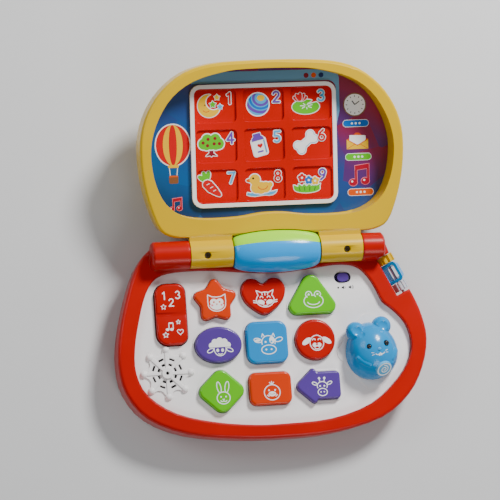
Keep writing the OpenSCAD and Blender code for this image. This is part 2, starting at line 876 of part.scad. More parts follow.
// The ring widens from its back to its front; inner is the wall left round it.
module ring_horn(inner, past) {
    front = rounded([
        [ring_l - inner, ring_w / 2 - inner], [inner, ring_w / 2 - inner],
        [inner, inner - ring_w / 2], [ring_l - inner, inner - ring_w / 2]],
        [3.2, 3.2, 3.2, 3.2] - [1, 1, 1, 1] * inner * 0.6, 4);
    mid = [ring_l / 2, 0];
    grown = past * (1 - ring_back) / ring_t;
    shares = [ring_back - grown, 1 + grown];
    loft(
        [for (k = shares) [for (p = front) mid + (p - mid) * k]],
        [-ring_t / 2 - past, ring_t / 2 + past], mid);
}
module square_ring_bead() {
    color("deepskyblue")
        on_rod()
            translate([ring_at, 0, 0])
                rotate([ring_tilt, 0, 0])
                    difference() {
                        ring_horn(0, 0);
                        ring_horn(ring_wall, 1);
                        translate([-1, 0, 0])
                            rotate([0, 90, 0])
                                cylinder(h = ring_l + 2, r = rod_d / 2 + rod_gap);
                    }
}

ribbed_d = 13;
rib_count = 12;
module ribbed_wheel_bead() {
    color("lightgray")
        on_rod()
            translate([ribbed_at, 0, 0])
                rotate([0, 90, 0])
                    difference() {
                        cylinder(h = ribbed_l, r = ribbed_d / 2);
                        for (i = [0:rib_count - 1])
                            rotate([0, 0, i * 360 / rib_count])
                                translate([ribbed_d / 2, 0, -1])
                                    cylinder(h = ribbed_l + 2, r = 0.9);
                        translate([0, 0, -1])
                            cylinder(h = ribbed_l + 2, r = rod_d / 2 + rod_gap);
                    }
}

// ---- rocker, volume knob ----
module mode_rocker() {
    color("crimson")
        difference() {
            translate(place([rocker_x, rocker_y], 0)) {
                prism(inset(rocker_path, 0.3), rocker_axis_z - 1.8, deck_top + 2.6);
                loft([inset(rocker_path, 0.3), inset(rocker_path, 0.8), inset(rocker_path, 2.2)],
                    [deck_top + 2.6, deck_top + 4.2, deck_top + 5]);
                translate([0, 0, rocker_axis_z])
                    rotate([0, 90, 0])
                        translate([0, 0, -lug_x - 2])
                            cylinder(h = 2 * lug_x + 4, r = pivot_d / 2);
            }
            // Crease between the two halves.
            translate(place([rocker_x, rocker_y], deck_top + 6.2))
                rotate([45, 0, 0])
                    translate([-20, -2.2, -2.2])
                        cube([40, 4.4, 4.4]);
            // Hollow underside on each side of the pivot.
            translate(place([rocker_x, rocker_y], rocker_axis_z - 3))
                for (side = [-1, 1])
                    translate([-rocker_w / 2 + 3, side > 0 ? 4 : -rocker_len / 2 + 4, 0])
                        cube([rocker_w - 6, rocker_len / 2 - 8, 8]);
        }
}

module volume_knob() {
    color("mediumpurple")
        translate(place([volume_x, volume_y], 0)) {
            slot_path(volume_l, volume_w, deck_top - 0.7, deck_top + 1.6);
            translate([-2.5, -1.5, deck_low - 2])
                cube([5, 3, deck_t + 2]);
            translate([-4.5, -3.6, deck_low - 2.2])
                cube([9, 7.2, 1.9]);
        }
}

// ---- mouse ----
function mouse_ring(t) =
    let (s = cos(90 * pow(t, 1.25)))
    [for (i = [0:35])
        let (c = cos(i * 10))
        let (b = sin(i * 10))
        [(mouse_w / 2) * s * c * (1 - 0.1 * b * (1 - t)), (mouse_l / 2) * s * b]];
mouse_low = deck_top + 0.5 + mouse_gap;
mouse_steps = 8;
eye_r = 2.6;
eye_shift = 1.6;
eye_points = [[eye_shift - 7.6, 2.6], [eye_shift + 7.6, 2.6]];
ear_x = 11.6;
ear_y = 18.6;
ear_z = mouse_low + 9.4;
arm_r = 3.2;
arm_z = mouse_low + 15.4;
arms = [[[-15.2, -4.5, arm_z], [-5.8, -14.6, arm_z - 1]], [[16.6, -5, arm_z - 1], [11, -13.4, arm_z - 1]]];
nose_r = 1.7;
nose_y = -1.6;
nose_z = mouse_low + mouse_h - 1;
module on_mouse() {
    translate(place([mouse_x, mouse_y], 0))
        rotate([0, 0, mouse_turn])
            children();
}
// A round-ended bar from a to b.
module limb(a, b, r) {
    d = b - a;
    translate(a)
        rotate([0, acos(d[2] / norm(d)), atan2(d[1], d[0])]) {
            sphere(r = r);
            cylinder(h = norm(d), r = r);
            translate([0, 0, norm(d)])
                sphere(r = r);
        }
}
module mouse_body() {
    color("deepskyblue")
        on_mouse()
            difference() {
                union() {
                    loft([for (j = [0:mouse_steps]) mouse_ring(min(j / mouse_steps, 0.97))],
                        [for (j = [0:mouse_steps]) mouse_low + mouse_h * sin(90 * pow(j / mouse_steps, 1.1))]);
                    for (side = [-1, 1])
                        translate([side * ear_x, ear_y, ear_z])
                            sphere(r = ear_r);
                    for (arm = arms)
                        limb(arm[0], arm[1], arm_r);
                    translate([eye_shift, nose_y, nose_z])
                        sphere(r = nose_r);
                    translate([0, 0, deck_low - 5])
                        cylinder(h = mouse_low - deck_low + 6, r = stem_d / 2);
                    translate([0, 0, carriage_low - 2.3])
                        cylinder(h = 2, r = stem_d / 2 + 3);
                }
                // Dished fronts of the ears.
                for (side = [-1, 1])
                    translate([side * (ear_x + 0.6), ear_y - 0.6, ear_z + ear_r + 6.4])
                        sphere(r = ear_r);
                for (p = eye_points)
                    translate([p[0], p[1], eye_z])
                        sphere(r = eye_r + 0.02);
            }
}
eye_z = mouse_low + mouse_h - 2.6;
module mouse_eyes() {
    color("black")
        on_mouse()
            for (p = eye_points)
                translate([p[0], p[1], eye_z])
                    sphere(r = eye_r);
}

module mouse_carriage() {
    color("lightgray")
        translate(place([mouse_x, mouse_y], 0))
            difference() {
                translate([-19, -16, carriage_low])
                    cube([38, 32, carriage_t]);
                translate([-stem_d / 2 - 0.15, -stem_d / 2 - mouse_travel - 0.5, carriage_low - 1])
                    cube([stem_d + 0.3, stem_d + 2 * mouse_travel + 1, carriage_t + 2]);
            }
}

// ---- lid: +Y away from the hinge axis, +Z towards the viewer ----
module on_lid() {
    translate([0, hinge_y, axis_z])
        rotate([180 - lid_open, 0, 0])
            children();
}
module lid_axis_tube(from, to, r) {
    rotate([0, 90, 0])
        translate([0, 0, from])
            cylinder(h = to - from, r = r);
}
module lid_clearances() {
    rotate([0, 90, 0])
        pod_turned(0.8);
    for (side = [-1, 1])
        lid_axis_tube(side < 0 ? -130 : knuckle_x - eps, side < 0 ? -knuckle_x + eps : 130, barrel_r + 0.8);
}

module lid_front_frame() {
    color("gold")
        on_lid()
            difference() {
                union() {
                    difference() {
                        loft([lid_path, lid_path, inset(lid_path, 0.8), inset(lid_path, 2.6)],
                            [lid_seam_n, rim_n - 3.5, rim_n - 1.2, rim_n], mid_of_lid);
                        // Space between the outer wall and the wall round the screen.
                        difference() {
                            prism(inset(lid_path, lid_wall), lid_seam_n - 1, rim_n - 2.4);
                            prism(inset(opening_path, -lid_wall), lid_seam_n - 2, rim_n);
                        }
                    }
                    prism(inset(opening_path, -lid_wall), screen_n - label_t - floor_t, lid_seam_n + 1);
                    for (side = [-1, 1]) {
                        lid_axis_tube(side < 0 ? -knuckle_x : pod_l / 2 + barrel_gap,
                            side < 0 ? -pod_l / 2 - barrel_gap : knuckle_x, barrel_r - 0.01);
                        translate([side < 0 ? -knuckle_x : pod_l / 2 + barrel_gap, 0, -8])
                            cube([knuckle_x - pod_l / 2 - barrel_gap, lid_start + 3, rim_n + 7]);
                    }
                }
                prism(opening_path, screen_n - label_t, rim_n + 5);
                translate([panel_mid[0], panel_mid[1], 0])
                    prism(panel_path(panel_border), screen_n - 10, screen_n);
                lid_clearances();
                for (side = [-1, 1]) {
                    lid_axis_tube(side < 0 ? -knuckle_x - 1 : pod_l / 2 - 1,
                        side < 0 ? -pod_l / 2 + 1 : knuckle_x + 1, pin_d / 2 + pin_gap);
                    translate([side * screw_x, 0, 0])
                        tube_cut(3, barrel_r - 4.5, barrel_r + 2);
                    translate([side * screw_x, 0, 0])
                        tube_cut(1.3, barrel_r - 8, barrel_r);
                }
            }
}

module lid_back_shell() {
    color("gold")
        on_lid()
            difference() {
                union() {
                    difference() {
                        loft([inset(lid_path, 4.5), inset(lid_path, 1.4), lid_path, lid_path],
                            [back_n, back_n + 1.8, back_n + 5, lid_seam_n], mid_of_lid);
                        prism(inset(lid_path, lid_wall + 1.5), back_n + lid_wall, lid_seam_n + 1);
                    }
                    for (p = lid_screw_points)
                        translate([p[0], p[1], back_n + 1])
                            cylinder(h = screen_n - label_t - floor_t - back_n - 1.1, r = 3.4);
                }
                lid_clearances();
                for (side = [-1, 1])
                    lid_axis_tube(
                        side < 0 ? -knuckle_x - 1 : pod_l / 2,
                        side < 0 ? -pod_l / 2 : knuckle_x + 1, barrel_r + 0.2);
                for (p = lid_screw_points)
                    translate([p[0], p[1], 0]) {
                        tube_cut(1.5, back_n - 1, screen_n);
                        tube_cut(2.8, back_n - 1, back_n + 2.5);
                    }
            }
}

function panel_path(d) = rounded(
    [[panel_wide / 2 - d, panel_high / 2 - d], [-panel_wide / 2 + d, panel_high / 2 - d],
        [-panel_wide / 2 + d, -panel_high / 2 + d], [panel_wide / 2 - d, -panel_high / 2 + d]],
    [9 - d, 9 - d, 9 - d, 9 - d], 5);

module screen_label() {
    color("royalblue")
        on_lid()
            difference() {
                prism(inset(opening_path, 0.15), screen_n - label_t, screen_n);
                translate([panel_mid[0], panel_mid[1], 0])
                    prism(panel_path(-0.1), screen_n - 5, screen_n + 5);
            }
}

module panel_border_frame() {
    color("white")
        on_lid()
            translate([panel_mid[0], panel_mid[1], 0])
                difference() {
                    prism(panel_path(0), panel_n, screen_n + panel_rise);
                    prism(panel_path(panel_border), panel_n - 1, screen_n + panel_rise + 1);
                }
}

module panel_window() {
    cell_w = (panel_wide - 2 * panel_border - 2 * panel_rib) / 3;
    cell_h = (panel_high - 2 * panel_border - 2 * panel_rib) / 3;
    half = [cell_w / 2 - 1, cell_h / 2 - 1];
    corners = [for (turn = [[1, 1], [-1, 1], [-1, -1], [1, -1]]) [turn[0] * half[0], turn[1] * half[1]]];
    cell_path = rounded(corners, [4, 4, 4, 4], 3);
    color("orangered")
        on_lid()
            translate([panel_mid[0], panel_mid[1], 0])
                difference() {
                    prism(panel_path(panel_border + 0.1), panel_n - floor_t, screen_n + panel_rise - 0.4);
                    for (i = [-1:1])
                        for (j = [-1:1])
                            translate([i * (cell_w + panel_rib), j * (cell_h + panel_rib), 0])
                                prism(cell_path, screen_n + panel_rise - 2, screen_n + panel_rise);
                }
}

module light_board() {
    color("darkgreen")
        on_lid()
            translate([panel_mid[0], panel_mid[1], 0]) {
                translate([-panel_wide / 2 + 2, -panel_high / 2 + 2, panel_n - floor_t - 1.7])
                    cube([panel_wide - 4, panel_high - 4, 1.6]);
            }
}

module lid_screws() {
    color("silver")
        on_lid()
            for (p = lid_screw_points)
                translate([p[0], p[1], back_n + 0.6])
                    screw(5, 1.88, 2.5, screen_n - label_t - floor_t - back_n - 2.6);
}

module knuckle_screws() {
    color("silver")
        on_lid()
            for (side = [-1, 1])
                translate([side * screw_x, 0, barrel_r - 2.6])
                    mirror([0, 0, 1])
                        screw(5.4, 1.85, 2.4, 3);
}

base_lower_case();
base_upper_case();
deck_plate();
battery_door();
battery_door_screw();
batteries();
battery_contacts();
circuit_board();
key_mat();
speaker_driver();
volume_switch_body();
case_screws();
pod_front_cover();
pod_rear_cover();
hinge_pins();
bead_rod();
lid_front_frame();
lid_back_shell();
screen_label();
panel_border_frame();
panel_window();
light_board();
lid_screws();
knuckle_screws();
star_key();
heart_key();
triangle_key();
ellipse_key();
square_key();
circle_key();
diamond_key();
rectangle_key();
arrow_key();
mode_rocker();
volume_knob();
mouse_carriage();
mouse_body();
mouse_eyes();
toothed_wheel_bead();
square_ring_bead();
ribbed_wheel_bead();
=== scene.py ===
"""The look of a toddler's toy laptop: finishes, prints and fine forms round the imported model.

Lengths are in metres. Drawings on the toy are laid out in millimetres, in a flat frame of their own
that a matrix then sets on the part that carries them.
"""
import json
import logging
import math
from collections.abc import Iterable
from dataclasses import dataclass, field
from enum import Enum

import bmesh
import bpy
from mathutils import Matrix, Vector
from mathutils.bvhtree import BVHTree


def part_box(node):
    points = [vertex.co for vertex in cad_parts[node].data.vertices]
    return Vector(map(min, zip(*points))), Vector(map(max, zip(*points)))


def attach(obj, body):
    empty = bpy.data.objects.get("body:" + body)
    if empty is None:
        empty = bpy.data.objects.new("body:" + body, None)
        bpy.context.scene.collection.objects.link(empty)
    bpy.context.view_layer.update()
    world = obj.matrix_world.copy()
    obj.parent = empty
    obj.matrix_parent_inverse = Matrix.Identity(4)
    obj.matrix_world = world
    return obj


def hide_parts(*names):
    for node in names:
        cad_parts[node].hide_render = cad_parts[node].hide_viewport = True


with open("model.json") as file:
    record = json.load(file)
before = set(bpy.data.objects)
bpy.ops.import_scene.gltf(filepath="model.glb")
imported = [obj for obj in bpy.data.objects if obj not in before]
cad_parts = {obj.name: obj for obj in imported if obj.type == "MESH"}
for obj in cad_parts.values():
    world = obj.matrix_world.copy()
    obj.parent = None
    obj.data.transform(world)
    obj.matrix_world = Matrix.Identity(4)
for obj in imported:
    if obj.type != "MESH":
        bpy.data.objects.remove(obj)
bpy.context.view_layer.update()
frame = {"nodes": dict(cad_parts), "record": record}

LOG = logging.getLogger("toy_laptop")
MM = 0.001
# The lid's frame starts on the hinge's axis and lies in the plane of the open lid.
HINGE = (0.0, 0.080, 0.038)
LID_TILT = math.radians(15.0)
LID_FRAME = Matrix.Translation(HINGE) @ Matrix.Rotation(LID_TILT, 4, "X")
DECK_TOP = 0.0275
# Prints are dropped onto their parts from this height.
ABOVE_ALL = 0.3

Point = tuple[float, float]
Colour = tuple[float, float, float]
Stop = tuple[float, Colour]
Lobe = tuple[float, float, float]


class Ink(Enum):
    """Printed inks, each with its colour in linear light."""

    WHITE = (0.86, 0.86, 0.84)
    NAVY = (0.012, 0.025, 0.12)
    BLUE = (0.005, 0.13, 0.50)
    SKY = (0.07, 0.36, 0.66)
    PURPLE = (0.13, 0.05, 0.36)
    RED = (0.56, 0.008, 0.008)
    CRIMSON = (0.36, 0.004, 0.022)
    DARK_RED = (0.22, 0.01, 0.02)
    ORANGE = (0.66, 0.085, 0.002)
    YELLOW = (0.80, 0.46, 0.01)
    GREEN = (0.10, 0.47, 0.01)
    DARK_GREEN = (0.02, 0.17, 0.02)
    BROWN = (0.20, 0.08, 0.03)
    PINK = (0.80, 0.20, 0.26)
    GREY = (0.14, 0.33, 0.52)
    BLACK = (0.01, 0.01, 0.012)


# ---------------------------------------------------------------- materials


class Graph:
    """The node graph of a new material.

    Attributes:
        mat: The material.
        shader: Its surface shader.
        coords: The object's own coordinates.
        link: Joins an output to an input.
    """

    def __init__(self, name: str) -> None:
        """Starts a material with a plain surface shader."""
        self.mat = bpy.data.materials.new(name)
        self.mat.use_nodes = True
        tree = self.mat.node_tree
        self.link = tree.links.new
        self.shader = tree.nodes["Principled BSDF"]
        self.coords = self.add("ShaderNodeTexCoord").outputs["Object"]

    def add(self, kind: str, values: dict[str | int, object] | None = None) -> bpy.types.Node:
        """Adds a node.

        Args:
            kind: Its type.
            values: Constants for its inputs.

        Returns:
            The node.
        """
        return self.put(self.mat.node_tree.nodes.new(kind), values or {})

    @staticmethod
    def put(node: bpy.types.Node, values: dict[str | int, object]) -> bpy.types.Node:
        """Sets constants on a node's inputs and returns the node."""
        for key, value in values.items():
            node.inputs[key].default_value = value
        return node

    def noise(self, scale: float, detail: float = 2.0) -> bpy.types.NodeSocket:
        """Adds a noise in the object's coordinates and returns its output."""
        node = self.add("ShaderNodeTexNoise", {"Scale": scale, "Detail": detail})
        self.link(self.coords, node.inputs["Vector"])
        return node.outputs["Fac"]

    def ramp(self, stops: Iterable[Stop], source: bpy.types.NodeSocket) -> bpy.types.ColorRamp:
        """Colours the surface by a ramp.

        Args:
            stops: Places along the ramp and their colours.
            source: What runs along the ramp.

        Returns:
            The ramp.
        """
        node = self.add("ShaderNodeValToRGB")
        band = node.color_ramp
        for index, (place, colour) in enumerate(stops):
            stop = band.elements[index] if index < 2 else band.elements.new(place)
            stop.position = place
            stop.color = (*colour, 1.0)
        self.link(source, node.inputs["Fac"])
        self.link(node.outputs["Color"], self.shader.inputs["Base Color"])
        return band

    def wear(self, source: bpy.types.NodeSocket, low: float, high: float) -> None:
        """Lets the roughness vary between two values."""
        spread = self.add("ShaderNodeMapRange", {"To Min": low, "To Max": high})
        self.link(source, spread.inputs["Value"])
        self.link(spread.outputs["Result"], self.shader.inputs["Roughness"])


@dataclass(frozen=True)
class Finish:
    """A finish with a procedural material of its own.

    Attributes:
        name: Name of the material.
        colour: Colour in linear light.
        roughness: Middle of the roughness.
        coat: Weight of the clear outer gloss.
        mottle: How far the colour wanders over the surface.
        grain: Depth of the fine grain.
        grain_scale: Grains in a metre.
        metallic: Share of metal.
        glow: Share of light that passes under the surface.
        edge: Radius of the softened edges.
        ior: Refractive index, which sets how bright a grazing reflection is.
    """

    name: str
    colour: Colour
    roughness: float = 0.3
    coat: float = 0.15
    mottle: float = 0.06
    grain: float = 0.04
    grain_scale: float = 900.0
    metallic: float = 0.0
    glow: float = 0.0
    edge: float = 0.0005
    ior: float = 1.36

    # Patches in a metre and their detail: of the colour, and of the marks left by handling.
    BLOTCHES = (14.0, 3.0)
    MARKS = (55.0, 5.0)
    WEAR = 0.18
    UNDER_SKIN = (0.004, 0.0012, 0.0008)

    def material(self) -> bpy.types.Material:
        """Returns the material, made on the first call."""
        known = bpy.data.materials.get(self.name)
        if known:
            return known
        graph = Graph(self.name)
        dark = tuple(c * (1.0 - self.mottle) for c in self.colour)
        light = tuple(min(1.0, c * (1.0 + self.mottle)) for c in self.colour)
        graph.ramp([(0.3, dark), (0.7, light)], graph.noise(*self.BLOTCHES))
        marks = graph.noise(*self.MARKS)
        graph.wear(marks, self.roughness * (1.0 - self.WEAR), self.roughness * (1.0 + self.WEAR))
        self._grain(graph)
        graph.put(graph.shader, {
            "Metallic": self.metallic, "Coat Weight": self.coat, "Coat Roughness": 0.12,
            "Specular IOR Level": 0.35, "IOR": self.ior})
        if self.glow:
            graph.put(graph.shader, {"Subsurface Weight": self.glow, "Subsurface Radius": self.UNDER_SKIN})
        return graph.mat

    def _grain(self, graph: Graph) -> None:
        """Adds the fine grain of the mould over softened edges."""
        bump = graph.add("ShaderNodeBump", {"Strength": self.grain, "Distance": 0.0004})
        edge = graph.add("ShaderNodeBevel", {"Radius": self.edge})
        edge.samples = 6
        graph.link(edge.outputs["Normal"], bump.inputs["Normal"])
        graph.link(graph.noise(self.grain_scale), bump.inputs["Height"])
        graph.link(bump.outputs["Normal"], graph.shader.inputs["Normal"])


@dataclass(frozen=True)
class ScreenPrint:
    """The printed sheet in the lid: coloured facets from deep blue to plum.

    Attributes:
        name: Name of the material.
        facets: Facets in a metre.
        across: How much redder the sheet gets in a metre to the right.
        upwards: How much redder it gets in a metre towards the far edge.
        start: Where the ramp stands at the hinge.
        jitter: How far a facet strays from its neighbours.
        stops: Places along the ramp and their colours.
    """

    name: str = "facet_print"
    facets: float = 34.0
    across: float = 2.2
    upwards: float = 5.2
    start: float = -0.10
    jitter: float = 0.30
    stops: tuple[Stop, ...] = (
        (0.00, (0.004, 0.030, 0.12)),
        (0.30, (0.005, 0.085, 0.27)),
        (0.52, (0.018, 0.055, 0.22)),
        (0.68, (0.085, 0.020, 0.14)),
        (0.86, (0.24, 0.010, 0.045)),
    )

    def material(self) -> bpy.types.Material:
        """Returns the material, made on the first call."""
        known = bpy.data.materials.get(self.name)
        if known:
            return known
        graph = Graph(self.name)
        flat = graph.add("ShaderNodeMapping")
        flat.vector_type = "TEXTURE"
        graph.put(flat, {"Location": HINGE, "Rotation": (LID_TILT, 0.0, 0.0)})
        split = graph.add("ShaderNodeSeparateXYZ")
        cells = graph.add("ShaderNodeTexVoronoi", {"Scale": self.facets})
        cells.voronoi_dimensions = "2D"
        tone = graph.add("ShaderNodeSeparateColor")
        graph.link(graph.coords, flat.inputs["Vector"])
        graph.link(flat.outputs["Vector"], split.inputs["Vector"])
        graph.link(flat.outputs["Vector"], cells.inputs["Vector"])
        graph.link(cells.outputs["Color"], tone.inputs["Color"])
        total = None
        terms = (
            (split.outputs["Y"], self.upwards), (split.outputs["X"], self.across),
            (tone.outputs["Red"], self.jitter),
        )
        for source, share in terms:
            step = graph.add("ShaderNodeMath", {1: share, 2: self.start})
            step.operation = "MULTIPLY_ADD"
            graph.link(source, step.inputs[0])
            if total:
                graph.link(total, step.inputs[2])
            total = step.outputs[0]
        graph.ramp(self.stops, total).interpolation = "EASE"
        graph.wear(graph.noise(60.0), 0.16, 0.28)
        graph.put(graph.shader, {"Coat Weight": 0.4, "Coat Roughness": 0.08})
        return graph.mat


def ink_finish(ink: Ink) -> Finish:
    """Returns the finish of a printed ink.

    Args:
        ink: The ink.

    Returns:
        A finish with a thin even film.
    """
    return Finish(f"ink_{ink.name.lower()}", ink.value, 0.32, 0.2, 0.04, 0.015, 1600.0, edge=0.00003)


RED_RIM = Finish("moulded_red_rim", (0.43, 0.002, 0.0), 0.3, 0.1, 0.07, 0.03, edge=0.0026)
RED = Finish("moulded_red", (0.43, 0.002, 0.0), 0.3, 0.14, 0.07, 0.03)
WHITE = Finish("moulded_white", (0.86, 0.83, 0.82), 0.36, 0.12, 0.03, 0.05)
YELLOW = Finish("moulded_yellow", (0.66, 0.41, 0.0), 0.3, 0.12, 0.05, 0.03)
POD_BLUE = Finish("glossy_pod_blue", (0.0, 0.31, 0.76), 0.2, 0.3, 0.06, 0.01)
MOUSE_BLUE = Finish("glossy_mouse_blue", (0.0, 0.26, 0.60), 0.22, 0.2, 0.06, 0.01)
RING_BLUE = Finish("ring_bead_blue", (0.0, 0.28, 0.66), 0.26, 0.1, 0.06, 0.01)
DISC_BLUE = Finish("belly_disc_blue", (0.10, 0.42, 0.72), 0.26, 0.1, 0.04, 0.01)
# Dark purple of the volume switch; on the tray in the slot its walls and rim are painted shade as well.
SLOT_PURPLE = Finish("slot_purple", (0.025, 0.012, 0.07), 0.4, 0.0, 0.06, 0.02)
# Painted shade: the knuckle screws are coloured dark brown steel so that they read as screws sunk in shadowed
# holes.
SCREW_RECESS_SHADE_STEEL = Finish("steel_with_painted_recess_shade", (0.09, 0.07, 0.04), 0.5, 0.0, 0.05, 0.02, metallic=0.6)
SKY = Finish("moulded_sky", (0.0, 0.23, 0.56), 0.26, 0.2, 0.06, 0.02)
LIME = Finish("moulded_lime", (0.36, 0.82, 0.01), 0.26, 0.25, 0.06, 0.03)
GREEN = Finish("moulded_green", (0.10, 0.47, 0.0), 0.26, 0.2, 0.06, 0.02)
ORANGE = Finish("moulded_orange", (0.60, 0.035, 0.0), 0.26, 0.2, 0.06, 0.02)
PURPLE = Finish("moulded_purple", (0.085, 0.038, 0.25), 0.26, 0.2, 0.07, 0.02)
CLEAR = Finish("moulded_clear", (0.55, 0.57, 0.62), 0.2, 0.5, 0.05, 0.02, glow=0.2)
PANEL = Finish("moulded_panel", (0.54, 0.003, 0.0), 0.24, 0.3, 0.10, 0.02, glow=0.05)
BLACK = Finish("moulded_black", (0.012, 0.012, 0.014), 0.14, 0.6, 0.05, 0.01)
STEEL = Finish("zinc_steel", (0.55, 0.55, 0.57), 0.32, 0.0, 0.05, 0.02, metallic=1.0)
BOARD = Finish("green_board", (0.02, 0.10, 0.035), 0.4, 0.2, 0.12, 0.05)
RUBBER = Finish("grey_rubber", (0.30, 0.30, 0.31), 0.7, 0.0, 0.05, 0.1)
CELL = Finish("battery_wrap", (0.05, 0.05, 0.055), 0.3, 0.3, 0.08, 0.02)
CONE = Finish("speaker_cone", (0.03, 0.03, 0.032), 0.8, 0.0, 0.1, 0.2)

NODE_FINISH: dict[str, Finish | ScreenPrint] = {
    "base_lower_case": RED, "base_upper_case": RED_RIM, "battery_door": RED, "deck_plate": WHITE,
    "battery_door_screw": STEEL, "batteries": CELL, "battery_contacts": STEEL, "circuit_board": BOARD,
    "key_mat": RUBBER, "speaker_driver": CONE, "volume_switch_body": SLOT_PURPLE, "case_screws": STEEL,
    "pod_front_cover": POD_BLUE, "pod_rear_cover": LIME, "hinge_pins": STEEL, "bead_rod": STEEL,
    "lid_front_frame": YELLOW, "lid_back_shell": YELLOW, "panel_border_frame": WHITE,
    # The knuckle screws' darkened steel is painted shade for their deep holes.
    "panel_window": PANEL, "light_board": BOARD, "lid_screws": STEEL, "knuckle_screws": SCREW_RECESS_SHADE_STEEL,
    "star_key": ORANGE, "heart_key": RED, "triangle_key": GREEN, "ellipse_key": PURPLE,
    "square_key": SKY, "circle_key": RED, "diamond_key": GREEN, "rectangle_key": ORANGE,
    "arrow_key": PURPLE, "mode_rocker": RED, "volume_knob": PURPLE, "mouse_carriage": WHITE,
    "mouse_body": MOUSE_BLUE, "mouse_eyes": BLACK, "toothed_wheel_bead": YELLOW,
    "square_ring_bead": RING_BLUE, "ribbed_wheel_bead": CLEAR, "screen_label": ScreenPrint(),
}
KEYS = (
    "star_key", "heart_key", "triangle_key", "ellipse_key", "square_key", "circle_key", "diamond_key",
    "rectangle_key", "arrow_key",
)
SOFTENED = (
    "base_lower_case", "base_upper_case", "deck_plate", "pod_front_cover", "pod_rear_cover",
    "lid_front_frame", "lid_back_shell", "panel_border_frame", "panel_window", "screen_label",
    *KEYS, "mode_rocker", "volume_knob", "mouse_body", "mouse_eyes", "toothed_wheel_bead",
    "square_ring_bead", "ribbed_wheel_bead",
)
KEY_ROUNDING = 0.55


def body_of_node(node: str) -> str:
    """Returns the body that a node rides on."""
    bodies = frame["record"]["behaviour"]["bodies"]
    return next(body for body, members in bodies.items() if node in members)


def mesh_of(mesh: bmesh.types.BMesh, name: str) -> bpy.types.Mesh:
    """Returns a finished mesh and lets its working copy go."""
    data = bpy.data.meshes.new(name)
    mesh.to_mesh(data)
    mesh.free()
    return data


def new_curve(name: str, radius: float, steps: int) -> bpy.types.Curve:
    """Returns an empty round curve.

    Args:
        name: Its name.
        radius: Radius of its section.
        steps: Fineness of its section.

    Returns:
        The curve, with closed ends.
    """
    curve = bpy.data.curves.new(name, "CURVE")
    curve.dimensions = "3D"
    curve.bevel_depth = radius
    curve.bevel_resolution = steps
    curve.use_fill_caps = True
    return curve


def swept(curve: bpy.types.Curve) -> bpy.types.Mesh:
    """Returns a curve's mesh and lets the curve go."""
    holder = bpy.data.objects.new(curve.name, curve)
    bpy.context.scene.collection.objects.link(holder)
    graph = bpy.context.evaluated_depsgraph_get()
    data = bpy.data.meshes.new_from_object(holder.evaluated_get(graph))
    bpy.data.objects.remove(holder)
    bpy.data.curves.remove(curve)
    return data


def add_piece(name: str, data: bpy.types.Mesh, body: str) -> bpy.types.Object:
    """Adds a finished mesh to the toy.

    Args:
        name: Name of the piece.
        data: Its mesh, in place and with its materials.
        body: The body that carries it.

    Returns:
        The piece.
    """
    piece = bpy.data.objects.new(name, data)
    bpy.context.scene.collection.objects.link(piece)
    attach(piece, body)
    LOG.info("%s on %s: %d faces", name, body, len(data.polygons))
    return piece


def surface_of(node: str) -> BVHTree:
    """Returns the surface of a node for prints that are pressed onto it."""
    mesh = bmesh.new()
    mesh.from_mesh(frame["nodes"][node].data)
    tree = BVHTree.FromBMesh(mesh)
    mesh.free()
    return tree


def drop(surface: BVHTree, spot: Vector) -> tuple[Vector | None, Vector | None]:
    """Returns where a surface lies under a spot and how it faces there."""
    return surface.ray_cast(Vector((spot.x, spot.y, ABOVE_ALL)), Vector((0.0, 0.0, -1.0)))[:2]


def node_middle(node: str) -> Vector:
    """Returns the middle of a node's box."""
    low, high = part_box(node)
    return (Vector(low) + Vector(high)) / 2


def node_top(node: str) -> float:
    """Returns the height of a node's top."""
    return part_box(node)[1][2]


def lid_box(node: str) -> tuple[Point, Point]:
    """Returns the middle and the size of a node in the lid's flat frame, in millimetres."""
    back = LID_FRAME.inverted()
    spots = [back @ vert.co / MM for vert in frame["nodes"][node].data.vertices]
    low = [min(spot[axis] for spot in spots) for axis in (0, 1)]
    high = [max(spot[axis] for spot in spots) for axis in (0, 1)]
    middle = ((low[0] + high[0]) / 2, (low[1] + high[1]) / 2)
    return middle, (high[0] - low[0], high[1] - low[1])


# ---------------------------------------------------------------- drawing kit


def ellipse(a: float, b: float, centre: Point = (0.0, 0.0), count: int = 36, start: float = 0.0,
            sweep: float = 360.0) -> list[Point]:
    """Returns points along an ellipse or a part of one.

    Args:
        a: Half width.
        b: Half height.
        centre: Its middle.
        count: Number of steps.
        start: First angle in degrees.
        sweep: Angle from the first to the last point.

    Returns:
        The points; a full turn leaves its last point out.
    """
    last = count if sweep >= 360.0 else count + 1
    return [
        (centre[0] + a * math.cos(math.radians(start + sweep * k / count)),
         centre[1] + b * math.sin(math.radians(start + sweep * k / count)))
        for k in range(last)
    ]


def bar(w: float, h: float, r: float, centre: Point = (0.0, 0.0)) -> list[Point]:
    """Returns a rounded rectangle."""
    points: list[Point] = []
    for sx, sy, start in ((1, 1, 0.0), (-1, 1, 90.0), (-1, -1, 180.0), (1, -1, 270.0)):
        corner = (centre[0] + sx * (w / 2 - r), centre[1] + sy * (h / 2 - r))
        points += ellipse(r, r, corner, 6, start, 90.0)
    return points


def star(r: float, inner: float, centre: Point = (0.0, 0.0), tips: int = 5) -> list[Point]:
    """Returns a star."""
    points = []
    for k in range(2 * tips):
        reach = inner if k % 2 else r
        points.append((centre[0] + reach * math.sin(math.pi * k / tips),
                       centre[1] + reach * math.cos(math.pi * k / tips)))
    return points


def heart(r: float, centre: Point = (0.0, 0.0)) -> list[Point]:
    """Returns a heart."""
    points = []
    for k in range(28):
        t = 2 * math.pi * k / 28
        x = 16 * math.sin(t) ** 3
        y = 13 * math.cos(t) - 5 * math.cos(2 * t) - 2 * math.cos(3 * t) - math.cos(4 * t)
        points.append((centre[0] + r * x / 16, centre[1] + r * y / 16))
    return points


